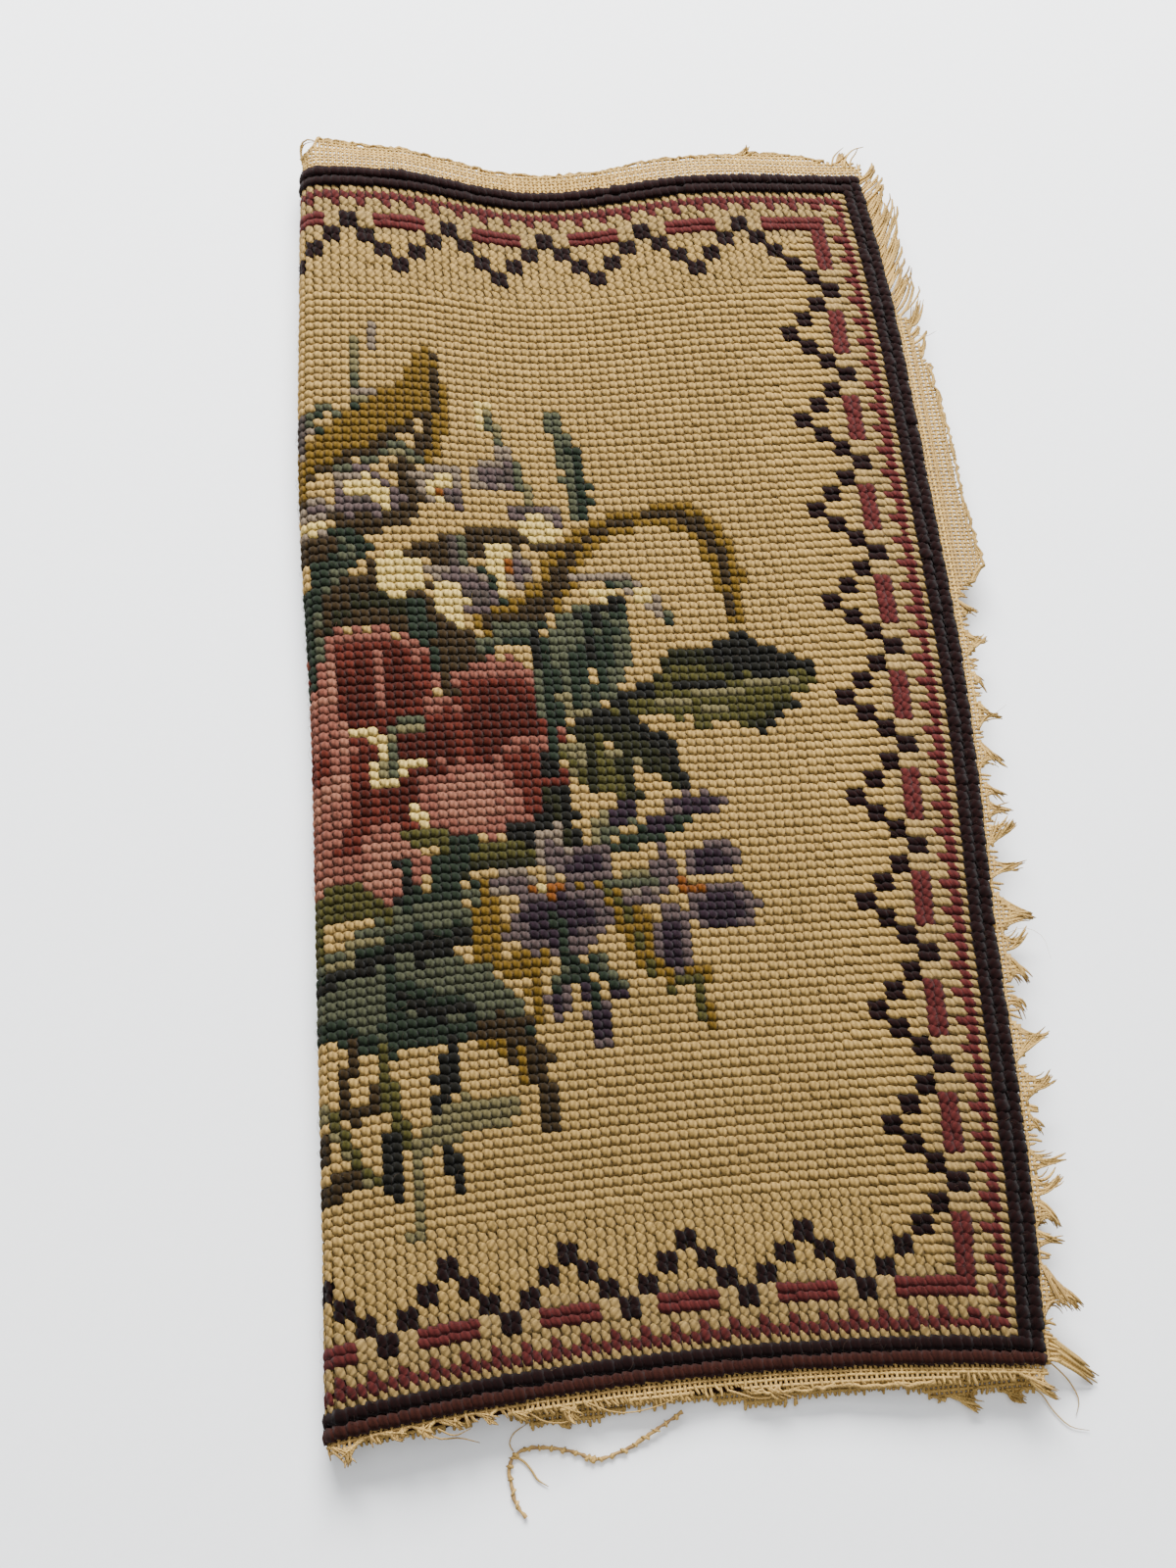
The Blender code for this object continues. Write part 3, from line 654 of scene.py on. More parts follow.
GREENERY = (
    Leaf(((18.4, 63.4), (21.5, 61.8), (24.8, 60.4)), (0.8, 1.7, 1), "grey_green",
         patch=("dark_teal", 0.4, 1.2)),
    Leaf(((25.2, 70.4), (27, 65.6), (29.6, 61.6), (33.6, 58.6)), (1.6, 3, 3.3, 1.4), "grey_green",
         patch=("dark_teal", 0.45, 1.2)),
    Leaf(((33.6, 58.8), (33.4, 63), (31.4, 68.8)), (0.9, 1.9, 1.5), "grey_green", "dark_teal"),
    Leaf(((26.6, 66), (28.6, 70), (31.2, 71.6)), (1.6, 2.3, 1), "grey_green", "sage"),
    Leaf(((30.2, 59.6), (34, 57.8)), (0.8, 0.7), "navy"),
    Leaf(((30.8, 60), (30, 64.8)), (0.9, 0.7), "navy", "dark_teal"),
    Leaf(((24.9, 62), (24.7, 65.2)), (0.9, 0.7), "dark_teal", "navy"),
    Leaf(((25.7, 63), (25.9, 70), (25.3, 78.2)), (0.6, 0.8, 0.7), "dark_teal"),
    Leaf(((28.8, 64.4), (28.6, 70.6)), 0.5, "dark_teal"),
    Leaf(((30.8, 71.8), (37, 69.8), (43, 68.8), (49, 68), (53.8, 67.6)), (0.6, 1.9, 4.9, 5.5, 1.8), "navy",
         "olive"),
    Leaf(((37.6, 68), (41, 66), (44.4, 67.2)), (1, 2.3, 1.2), "dark_olive", "olive"),
    Leaf(((37, 70.6), (43, 69.6), (48, 68.8), (53, 68)), (0.4, 0.5), "sage"),
    Leaf(((41, 72.2), (46.4, 71.2)), 0.5, "sage", "olive"),
    Leaf(((48.4, 73.8), (51.8, 71.4)), (0.8, 0.7), "dark_olive", "navy"),
    Leaf(((26.8, 75.4), (28.6, 77), (30.6, 79.6)), (1, 2.3, 1.7), "sage", patch=("olive", 0.3, 0.9)),
    Leaf(((28.2, 73.2), (33, 74.2), (36.5, 76.8), (39, 80.6)), (0.9, 2.5, 2.5, 0.8), "dark_olive",
         patch=("navy", -1.2, -0.3)),
    Leaf(((30.2, 74.8), (30, 80)), (0.8, 0.9), "olive", "dark_olive"),
    Leaf(((32.2, 77.6), (33.2, 82)), (1.7, 1.4), "dark_olive", "olive"),
    Leaf(((31.2, 76.2), (34.4, 77.4)), 0.45, "sage"),
    Leaf(((20.6, 85.4), (24.2, 84.6), (25.8, 81)), (0.9, 1.7, 1.2), "navy"),
    Leaf(((25.6, 81.2), (26.6, 85.8)), (1.3, 1.2), "navy", "dark_olive"),
    Leaf(((24.4, 76.4), (25.2, 78.6)), 0.7, "navy"),
    Leaf(((29.4, 87.2), (31.2, 84.4), (33.4, 84.4)), (0.8, 1.2, 0.6), "sage", "grey_green"),
    Leaf(((30.8, 87.6), (34.5, 86.6), (38.8, 84.6)), (0.7, 1.2, 1), "dark_teal"),
    Leaf(((15.6, 88.6), (19, 87.6), (23.2, 88)), (1, 1.8, 1.4), "olive", "dark_olive"),
    Leaf(((13.4, 91), (14.6, 87.5), (16.2, 85.8)), (1, 1.9, 0.9), "dark_teal"),
    Leaf(((8.8, 87.4), (9.7, 90), (8.8, 93)), (0.7, 1, 0.7), "dark_teal", "navy"),
    Leaf(((10.8, 91.8), (14, 91.7), (17.2, 91)), (0.7, 1, 0.8), "dark_teal", "grey_green"),
    Leaf(((-0.4, 92), (3, 91.2), (7.6, 92.8)), (1.7, 2.1, 0.7), "olive"),
    Leaf(((0.1, 92), (0.1, 100)), (0.9, 0.8), "olive"),
    Leaf(((-0.4, 99.2), (5, 96.6), (10.5, 95.3), (16.4, 94.8)), (1, 2.2, 2.7, 2.1), "grey_green", "navy",
         vein="dark_teal"),
    Leaf(((3.8, 95.7), (6.4, 95.1)), 0.5, "sage"),
    Leaf(((1.2, 97.8), (3.8, 96.9)), 0.5, "sage"),
    Leaf(((0, 102), (6, 102.8), (13, 102.4), (21.2, 105.8)), (2.3, 4.9, 4.4, 0.9), "grey_green",
         patch=("dark_teal", 0.35, 1.2)),
    Leaf(((7.4, 98.4), (8, 102.5), (7.6, 106)), (0.6, 0.8, 0.7), "dark_teal"),
    Leaf(((8.6, 100.6), (11.5, 103), (14.8, 103.4)), (0.9, 1.4, 0.8), "dark_teal", "navy"),
    Leaf(((17, 107.4), (19.6, 107.8)), (0.9, 0.8), "ochre"),
    Leaf(((16, 106.2), (18.6, 105.5), (21, 105.7)), (0.8, 1.1, 0.8), "dark_brown"),
    Leaf(((20.2, 107.4), (22, 108.6), (23.4, 109.7)), (1.2, 1.2, 0.7), "dark_brown"),
    Leaf(((19.8, 108.8), (20.2, 111.2)), (0.7, 0.6), "ochre", "dark_brown"),
    Leaf(((21.6, 110.6), (22.8, 112.6), (22.9, 116.6)), (0.8, 0.8, 0.7), "dark_brown"),
    Leaf(((17.6, 91.2), (17.8, 94.5), (18, 99)), (1, 1.7, 0.7), "ochre"),
    Leaf(((16.4, 94.4), (16.2, 98.6)), (0.7, 0.6), "ochre"),
    Leaf(((20.4, 99.6), (23.6, 99)), (1.2, 1), "ochre"),
    Leaf(((22.2, 100), (22.3, 105.4)), (0.7, 0.6), "ochre"),
    Leaf(((26.8, 92.2), (30.5, 92.4), (32.6, 95.2), (34.6, 101.6)), (0.9, 1.4, 1.7, 0.9), "ochre",
         vein="olive"),
    Leaf(((30.8, 91.4), (33.4, 90.8), (36, 91.6)), (0.6, 0.9, 0.7), "sage", "grey_green"),
    Leaf(((36.6, 102.6), (38.8, 101.8), (40.6, 102.6)), (0.9, 1.4, 0.8), "ochre", "olive"),
    Leaf(((39.6, 103), (40.1, 107.6)), (0.9, 0.6), "ochre", "olive"),
    Leaf(((3.7, 106), (3.1, 108.6), (2.4, 110.6), (3, 112.6), (5.2, 112.4), (5.6, 110.4)),
         (0.6, 0.6, 0.7, 0.8, 0.8, 0.6), "dark_brown"),
    Leaf(((6.4, 107), (7.2, 112), (8.7, 116.4)), (0.6, 0.8, 0.8), "olive"),
    Leaf(((13.6, 106.4), (12.8, 111), (11.3, 115.2)), (0.7, 1.3, 0.7), "navy"),
    Leaf(((9.4, 117), (9.7, 121), (9, 126.4)), (0.8, 0.7, 0.6), "sage"),
    Leaf(((9.6, 118.2), (12.5, 115), (19, 114.4)), (0.9, 2, 1.2), "sage"),
    Leaf(((7, 116), (7.2, 120.6)), (1.4, 1.1), "navy"),
    Leaf(((12.4, 117.6), (13.7, 121.2)), (0.9, 0.7), "navy"),
    Leaf(((0.8, 112), (2.6, 116), (5.2, 119.8)), (0.6, 0.8, 0.8), "olive", "sage"),
    Leaf(((0.8, 119.8), (2.9, 119)), (1.2, 1.1), "dark_brown"),
    Leaf(((0.2, 114.4), (0.3, 116.8)), 0.6, "dark_brown"),
)

# Petals: place, reach, turn in degrees, and the colours from the petal's middle out
Petal = namedtuple("Petal", "x y wide high turn yarns")
WHITE = (("cream", 1),)
TINTED = (("pale_lilac", 1),)
PALE = (("cream", 0.6), ("pale_lilac", 1))
SHADED = (("lilac", 0.65), ("pale_lilac", 1))
SMOKY = (("smoky", 0.6), ("lilac", 1))
DUSKY = (("deep_purple", 0.64), ("lilac", 1))
PURPLE = (("deep_purple", 1),)
RED = (("deep_brick", 0.58), ("brick", 0.85), ("salmon", 1))
WARM = (("brick", 0.24), ("salmon", 0.74), ("light_salmon", 1))
BLUSH = (("light_salmon", 0.66), ("salmon", 1))
PINK = (("salmon", 1),)
SPOT = (("orange", 1),)
BLOSSOMS = (
    Petal(7.4, 43.6, 3.7, 3.2, 0, SMOKY), Petal(5.2, 41.8, 1.5, 1.1, -25, TINTED),
    Petal(7.4, 42.9, 2.2, 1.4, 0, WHITE), Petal(9.2, 44.4, 0.7, 1.2, 0, WHITE),
    Petal(15.6, 42.8, 2.8, 2.8, 0, PALE), Petal(16.9, 44.2, 1.2, 1.4, 0, SMOKY),
    Petal(15.5, 43.4, 0.7, 0.6, 0, SPOT), Petal(21.2, 41.2, 2.7, 2.1, -20, SHADED),
    Petal(23.1, 40.8, 1.2, 2.2, 0, SMOKY), Petal(22.8, 38.4, 1, 1.3, 0, TINTED),
    Petal(25.8, 46, 2.7, 1.3, 10, SMOKY), Petal(28.4, 46.8, 0.9, 1.8, 0, SHADED),
    Petal(26.2, 48, 2.4, 1.6, 15, WHITE), Petal(2, 45.6, 1.8, 1.3, -20, SHADED),
    Petal(1.6, 47.8, 2, 1.5, 0, PALE), Petal(12.4, 54.6, 1, 1.8, 0, TINTED),
    Petal(10.6, 54, 2.3, 2.7, 0, WHITE), Petal(16.4, 54.2, 3.8, 1.1, 5, SHADED),
    Petal(18.6, 57, 2.3, 2.2, 0, SMOKY), Petal(15.8, 57.6, 1.7, 3, -8, WHITE),
    Petal(23.6, 53.6, 1.7, 2.2, 0, SHADED), Petal(21.5, 52.2, 2, 2.4, 0, WHITE),
    Petal(21.8, 55.6, 0.6, 1.4, 0, WHITE), Petal(22.6, 53, 0.7, 0.6, 0, SPOT),
    Petal(31, 54.6, 1.7, 1, 0, TINTED), Petal(34.4, 54.6, 1.8, 0.6, 0, TINTED),
    Petal(32.8, 56.6, 1.3, 0.9, 0, WHITE), Petal(36.8, 56.8, 1.9, 1.4, 20, PALE),
    Petal(38.2, 58.6, 1, 1.2, 0, TINTED),
)
BLOOM = (
    Petal(7.2, 68.6, 7.2, 8.2, 0, RED), Petal(19.8, 73, 6.6, 8.6, 5, RED),
    Petal(22.4, 79.6, 4.6, 5.2, 0, (("brick", 0.85), ("salmon", 1))), Petal(1, 76, 3.4, 8.4, 0, WARM),
    Petal(4.4, 84.6, 6.4, 7.2, -12, WARM),
    Petal(10.6, 77, 6.6, 6.8, 0, (("deep_brick", 0.8), ("brick", 1))),
    Petal(16.6, 81.2, 5.6, 4.4, 15, BLUSH), Petal(7.8, 87.4, 4.4, 4, -20, BLUSH),
    Petal(5.4, 80.6, 1.6, 4.6, 10, (("deep_brick", 0.5), ("brick", 1))),
    Petal(7.4, 66.6, 0.8, 3.8, 0, PINK), Petal(2.2, 67.6, 1, 5.2, 4, BLUSH),
    Petal(20.4, 65.8, 3.6, 1.2, 8, PINK),
)
VIOLETS = (
    Petal(24.8, 87.6, 1.8, 2.9, 0, SHADED), Petal(28.6, 89, 3.2, 2, -8, DUSKY),
    Petal(20.4, 90.6, 2.7, 1.4, 5, SHADED), Petal(25.2, 94.9, 5.7, 3.9, 0, DUSKY),
    Petal(22.4, 91.4, 0.7, 0.7, 0, SPOT), Petal(24.8, 91.8, 0.9, 0.8, 0, SPOT),
    Petal(23.6, 91.4, 0.5, 0.6, 0, WHITE), Petal(36.6, 90, 1.3, 2.9, 0, (("lilac", 1),)),
    Petal(41.6, 89.4, 3.4, 1.9, -18, DUSKY), Petal(42.6, 94.8, 3.8, 2.8, 8, DUSKY),
    Petal(37.2, 98.2, 1.9, 4, 3, DUSKY), Petal(34, 93.2, 2.4, 1.2, -8, SHADED),
    Petal(38.8, 92, 1, 1, 0, SPOT), Petal(40.6, 92.3, 0.7, 0.6, 0, SPOT),
    Petal(40.4, 82.8, 3.3, 1.6, 0, DUSKY), Petal(36.2, 84.8, 1.6, 0.9, -20, PURPLE),
    Petal(32.6, 83.4, 1.3, 1.7, 20, PURPLE), Petal(24.6, 103.6, 1.3, 2.2, 8, DUSKY),
    Petal(28.9, 106.4, 1.4, 3, -8, DUSKY), Petal(31, 103.2, 1, 1.2, 0, PURPLE),
)
STAMENS = (
    Leaf(((5, 72.4), (6.6, 73.4), (7, 78.8)), (0.6, 0.7, 0.6), "cream"),
    Leaf(((8.2, 73.6), (9.4, 72.2), (11.6, 71.8)), (0.6, 0.8, 0.7), "grey_green", "sage"),
    Leaf(((8.2, 75), (7.9, 77.8)), 0.6, "grey_green", "sage"),
    Leaf(((9.6, 76.2), (11.6, 76.2)), 0.5, "cream"),
    Leaf(((8.6, 78.6), (9.2, 77.2)), 0.5, "cream"),
    Leaf(((10.6, 81.2), (11.2, 83.2)), 0.6, "cream"),
    Leaf(((10.4, 84.6), (13.4, 85.2)), (1, 1.3), "olive"),
)
STALKS = (
    Leaf(((24.8, 94.6), (25.6, 98), (26.2, 101.2)), (0.6, 0.7, 0.8), "dark_teal"),
    Leaf(((26, 100.6), (24.4, 102)), (0.8, 0.7), "dark_teal", "grey_green"),
    Leaf(((27.2, 100.8), (28.2, 104)), 0.7, "dark_teal", "deep_purple"),
    Leaf(((29, 99.6), (30.6, 102.4)), 0.9, "grey_green", "dark_teal"),
)


def work_bouquet(chart):
    """Ordinary garden flowers, worked from the back forwards."""
    for layer in (BEHIND, BLOSSOM_LEAVES, BLOSSOMS, BLOOM, STAMENS, GREENERY, VIOLETS, STALKS):
        for shape in layer:
            if isinstance(shape, Petal):
                chart.oval(*shape)
            else:
                chart.strip(*shape)


UPRIGHT_DEEP = 17
BAND_DEEP = 2


def from_edges(rows, columns):
    """How many stitches lie between a stitch and the nearer level edge, and the nearer upright one."""
    return np.minimum(rows, STITCHES - 1 - rows), np.minimum(columns, STITCHES - 1 - columns)


def ridge_upright(chart):
    """Where the legs run on as upright ropes: across the edge, but along it in the band and the bars."""
    from_row, from_column = from_edges(*np.mgrid[0:STITCHES, 0:STITCHES])
    upright = (from_row < UPRIGHT_DEEP) & (from_row < from_column)
    rose = chart.yarn == chart.names.index("rose")
    bars = rose & (np.isin(from_row, BAR_ROWS) | np.isin(from_column, BAR_ROWS))
    along_edge = bars | (np.minimum(from_row, from_column) < BAND_DEEP)
    return np.where(along_edge, from_column < from_row, upright)


# The two legs of a cross stitch: station along the leg, half width, half height and height of its
# middle. In the border the legs run on from stitch to stitch as a rope.
LEG_TOP = np.array([(-1.0, 0.20, 0.18, 0.42), (-0.42, 0.46, 0.37, 0.77), (0.42, 0.46, 0.37, 0.77),
                    (1.0, 0.20, 0.18, 0.42)])
LEG_ROPE = np.array([(-1.0, 0.36, 0.28, 0.68), (-0.45, 0.46, 0.39, 0.78), (0.45, 0.46, 0.39, 0.78),
                     (1.0, 0.36, 0.28, 0.68)])
LEG_UNDER = np.array([(-1.0, 0.22, 0.18, 0.34), (0.0, 0.42, 0.36, 0.56), (1.0, 0.22, 0.18, 0.34)])
LEG_REACH = np.array([0.98, 0.92])
ROPE_REACH = np.array([1.42, 0.50])
ROPE_DEEP = 19
ROPE_FADE = 6
# The dark band bulges outward over the canvas and squeezes the row beside it, and the two rows with
# the bars lie close: how far each of the outer rows is moved inward, and how plump it is
CROWDED_MOVE = np.array([-0.22, 0.12, 0.16, 0.0, 0.0, 0.0, 0.05, -0.05, 0.0])
CROWDED_WIDE = np.array([1.46, 1.46, 0.9, 1.0, 1.0, 1.0, 1.16, 1.16, 1.0])
# How unevenly the stitches are placed, packed and dyed, the twist of the yarn in a leg, and the painted
# shade of the lower rows
SHIFT_SPREAD = 0.035
PLUMP_SPREAD = 0.06
TONE_SPREAD = 0.045
TURNS_A_LEG = 2.4
ROW_TONE_AND_SHADE = np.random.default_rng(3).normal(1, 0.022, STITCHES)
# From the 80th row down, the rows are darkened from 1.03 to 0.81: painted shade of light that falls off
# towards the bottom.
ROW_TONE_AND_SHADE *= np.interp(np.arange(STITCHES), (0, 80, STITCHES), (1.03, 1.03, 0.81))


def stitch_legs(rows, columns, upright, colours, draw, shape, falling, sides):
    """One leg of each cross stitch, on the front of the sheet."""
    count = len(rows)
    from_row, from_column = from_edges(rows, columns)
    from_edge = np.minimum(from_row, from_column)[:, None]
    rope = np.clip((ROPE_DEEP - from_edge) / ROPE_FADE, 0, 1)
    shapes = np.broadcast_to(shape, (count, *shape.shape))
    if falling:
        shapes = shapes + (LEG_ROPE - shape) * rope[..., None]
    station, wide, high, lift = np.moveaxis(shapes, 2, 0)
    shift = draw.normal(0, SHIFT_SPREAD, (2, count, 1))
    reach = (LEG_REACH + (ROPE_REACH - LEG_REACH) * rope) / 2
    reach = np.where(upright[:, None], reach[:, ::-1], reach)
    way = -1 if falling else 1
    column = columns[:, None] + 0.5 + way * station * reach[:, :1] + shift[0]
    row = rows[:, None] + 0.5 + station * reach[:, 1:] + shift[1]
    crowded = np.minimum(from_edge, len(CROWDED_MOVE) - 1)
    inward = CROWDED_MOVE[crowded]
    column = column + inward * (from_column <= from_row)[:, None]
    row = row - inward * (np.sign(rows - STITCHES / 2) * (from_row <= from_column))[:, None]
    plump = draw.normal(1, PLUMP_SPREAD, (count, 1)) * CROWDED_WIDE[crowded]
    v = row * STITCH
    s = across_at(column, v)
    points = SHEET.lifted(s, v, lift * plump)
    middle = SHEET.normal(s.mean(axis=1), v.mean(axis=1))[:, None]
    # Each stitch's tone: its own dye and its row's, with the painted shade of the lower rows.
    tone_and_shade = draw.normal(1, TONE_SPREAD, count) * ROW_TONE_AND_SHADE[rows]
    shades = np.broadcast_to((colours * tone_and_shade[:, None])[:, None], (count, shape.shape[0], 3))
    return Yarns(points, wide * plump * STITCH, high * plump, middle, shades,
                 np.full(count, TURNS_A_LEG), sides)


def work_stitches(chart, wool):
    """Cross stitches on the upper half and round the fold, in pieces by where they lie."""
    rows, columns = np.mgrid[0:STITCHES, 0:WRAPPED_COLUMNS]
    upright = ridge_upright(chart)
    at_ends = (rows < UPRIGHT_DEEP) | (rows >= STITCHES - UPRIGHT_DEEP)
    at_side = (columns < UPRIGHT_DEEP) & ~at_ends
    inner = ~at_ends & ~at_side
    plain = chart.yarn[rows, columns] == chart.names.index("ground")
    areas = (
        ("border_rows", at_ends),
        ("border_columns", at_side),
        ("bouquet", inner & ~plain),
        ("ground_above", inner & plain & (rows < STITCHES // 2)),
        ("ground_below", inner & plain & (rows >= STITCHES // 2)),
    )
    made = []
    for seed, (name, area) in enumerate(areas):
        draw = np.random.default_rng(100 + seed)
        r, c = np.nonzero(area)
        place = (r, c, upright[r, c], chart.dyes[chart.yarn[r, c]], draw)
        under = stitch_legs(*place, LEG_UNDER, False, 3)
        over = stitch_legs(*place, LEG_TOP, True, 5)
        made.append(made_of_yarns(name + "_stitches", [under, over], wool))
    return made


# How dark the cloth is between the stitches and on its back, as a share of the wool's colour. Between the
# stitches the darkening is painted shade in the gaps, over the wool's colour that shows there.
FRONT_PAINTED_SHADE = 0.55
BACK_SHADE = 0.85


def grid_vertices(bm, columns, rows, height):
    """Add a flat grid and return its vertices as [row][column]."""
    level = Matrix.Translation((0, 0, height))
    made = bmesh.ops.create_grid(bm, x_segments=columns - 1, y_segments=rows - 1, size=1, matrix=level)
    ordered = [[None] * columns for _ in range(rows)]
    for vertex in made["verts"]:
        column = round((vertex.co.x + 1) / 2 * (columns - 1))
        row = round((vertex.co.y + 1) / 2 * (rows - 1))
        ordered[row][column] = vertex
    return ordered


def worked_canvas(chart, wool):
    """The canvas with its wool, as one closed folded sheet. The lower half's stitches are beads on it."""
    lines = np.arange(STITCHES + 1)
    row, column = np.meshgrid(lines, lines, indexing="ij")
    v = row * STITCH
    s = across_at(column.astype(float), v)
    flat = s < LIES_FLAT
    front = SHEET.lifted(s, v, np.where(flat, LOWER_HOLLOW, CANVAS_FRONT))
    back = SHEET.lifted(s, v, np.full(s.shape, -CANVAS_BACK))
    corner = np.minimum(lines, STITCHES - 1)
    cloth = chart.dyes[chart.yarn[corner][:, corner]]
    bm = bmesh.new()
    size = STITCHES + 1
    tone_and_shade = bm.verts.layers.float_color.new(YARN_COLOUR)
    front_vertices = grid_vertices(bm, size, size, 0.1)
    back_vertices = grid_vertices(bm, size, size, 0)
    bmesh.ops.bridge_loops(bm, edges=[edge for edge in bm.edges if edge.is_boundary])
    # The front takes the wool's colour, darkened as painted shade in the gaps between the stitches.
    for vertices, places, shade in ((front_vertices, front, FRONT_PAINTED_SHADE), (back_vertices, back, BACK_SHADE)):
        for vertex_row, place_row, cloth_row in zip(vertices, to_frame(places), cloth):
            for vertex, place, colour in zip(vertex_row, place_row, cloth_row):
                vertex.co = Vector(place)
                vertex[tone_and_shade] = (*(colour * shade), 1)
    first_flat = int(np.argmax(flat.all(axis=0)))
    low = {vertex for front_row in front_vertices[:-1] for vertex in front_row[first_flat:]}
    faces = [face for face in bm.faces if all(vertex in low for vertex in face.verts)]
    for vertex in bmesh.ops.poke(bm, faces=faces, offset=0)["verts"]:
        vertex.co.z = (WORKED_THICK / 2 - LOWER_BEAD) * MM
        ring = [edge.other_vert(vertex) for edge in vertex.link_edges]
        nearest = min(ring, key=lambda other: other.co.x - other.co.y)
        # A bead's top takes the wool's full colour, without the painted shade of the gaps.
        vertex[tone_and_shade] = [value / FRONT_PAINTED_SHADE for value in nearest[tone_and_shade][:3]] + [1]
    bmesh.ops.recalc_face_normals(bm, faces=bm.faces)
    if bm.calc_volume(signed=True) < 0:
        bmesh.ops.reverse_faces(bm, faces=bm.faces)
    mesh = bpy.data.meshes.new("worked_canvas")
    bm.to_mesh(mesh)
    bm.free()
    mesh.shade_smooth()
    made = place_piece("worked_canvas", mesh, wool)
    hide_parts("panel")
    return made


HAIRS = 3000
HAIR_THICK = 0.036
HAIR_PALE = (168, 140, 112)
DARK_WOOL = 0.35
PALE_SHARE = 0.22


def wool_hairs(chart, wool):
    """Fine hairs that stand off the wool, most of them on its dark colours, where they show."""
    draw = np.random.default_rng(31)
    rows = draw.uniform(0, STITCHES, HAIRS * 3)
    columns = draw.uniform(0, FOLD_COLUMN + 3, HAIRS * 3)
    colours = chart.dyes[chart.yarn[rows.astype(int), columns.astype(int)]]
    dark = colours.sum(axis=1) < DARK_WOOL
    keep = np.flatnonzero(dark | (draw.uniform(0, 1, len(rows)) < PALE_SHARE))[:HAIRS]
    rows, columns, colours = rows[keep], columns[keep], colours[keep]
    count = len(keep)
    angle = draw.uniform(0, 2 * math.pi, count)[:, None]
    length = draw.uniform(0.6, 2.2, count)[:, None]
    bend = draw.normal(0, 0.8, count)[:, None]
    t = np.linspace(-0.5, 0.5, 4)[None]
    column = columns[:, None] + length * t * np.cos(angle + bend * t)
    row = np.clip(rows[:, None] + length * t * np.sin(angle + bend * t), 0, STITCHES)
    v = row * STITCH
    s = across_at(np.clip(column, 0, STITCHES), v)
    rise = draw.uniform(0.1, 0.9, count)[:, None]
    lift = 1.15 + rise * (1 - 4 * t * t)
    points = SHEET.lifted(s, v, lift)
    up = SHEET.normal(s.mean(axis=1), v.mean(axis=1))[:, None]
    thin = np.full(points.shape[:2], HAIR_THICK)
    pale = colours * 0.6 + dyed(HAIR_PALE) * draw.uniform(0.1, 0.6, (count, 1))
    shades = np.broadcast_to(pale[:, None], points.shape)
    group = Yarns(points, thin, thin, up, shades, np.ones(count), 3)
    return made_of_yarns("wool_hairs", [group], wool)


# The raw canvas: threads every half stitch, with the wefts and warps passing over and under
PITCH = STITCH / 2
WEAVE_RISE = 0.2
FIRST_THREAD = 0.5
ROOTS_UNDER_WOOL = -1.6

# woven: share along the edge and the width still woven. free: share and the length of loose ends.
# lean: how far the loose ends lean along the edge. tufts: share, reach, half base and the tip's bend.
# strands: single ends as places along, out and up, with a half thickness and how brown they are.
Margin = namedtuple("Margin", "name node place length woven free lean tufts strands thick lower seed")


def beside_right(along, out):
    return SHEET.width(along) + out, along


def above_top(along, out):
    return along, -out


def below_bottom(along, out):
    return along, FIELD + out


def beside_lower_right(along, out):
    return -(LOWER_WIDTH + out), along


def above_lower_top(along, out):
    return -along, -out


def below_lower_bottom(along, out):
    return -along, FIELD + out


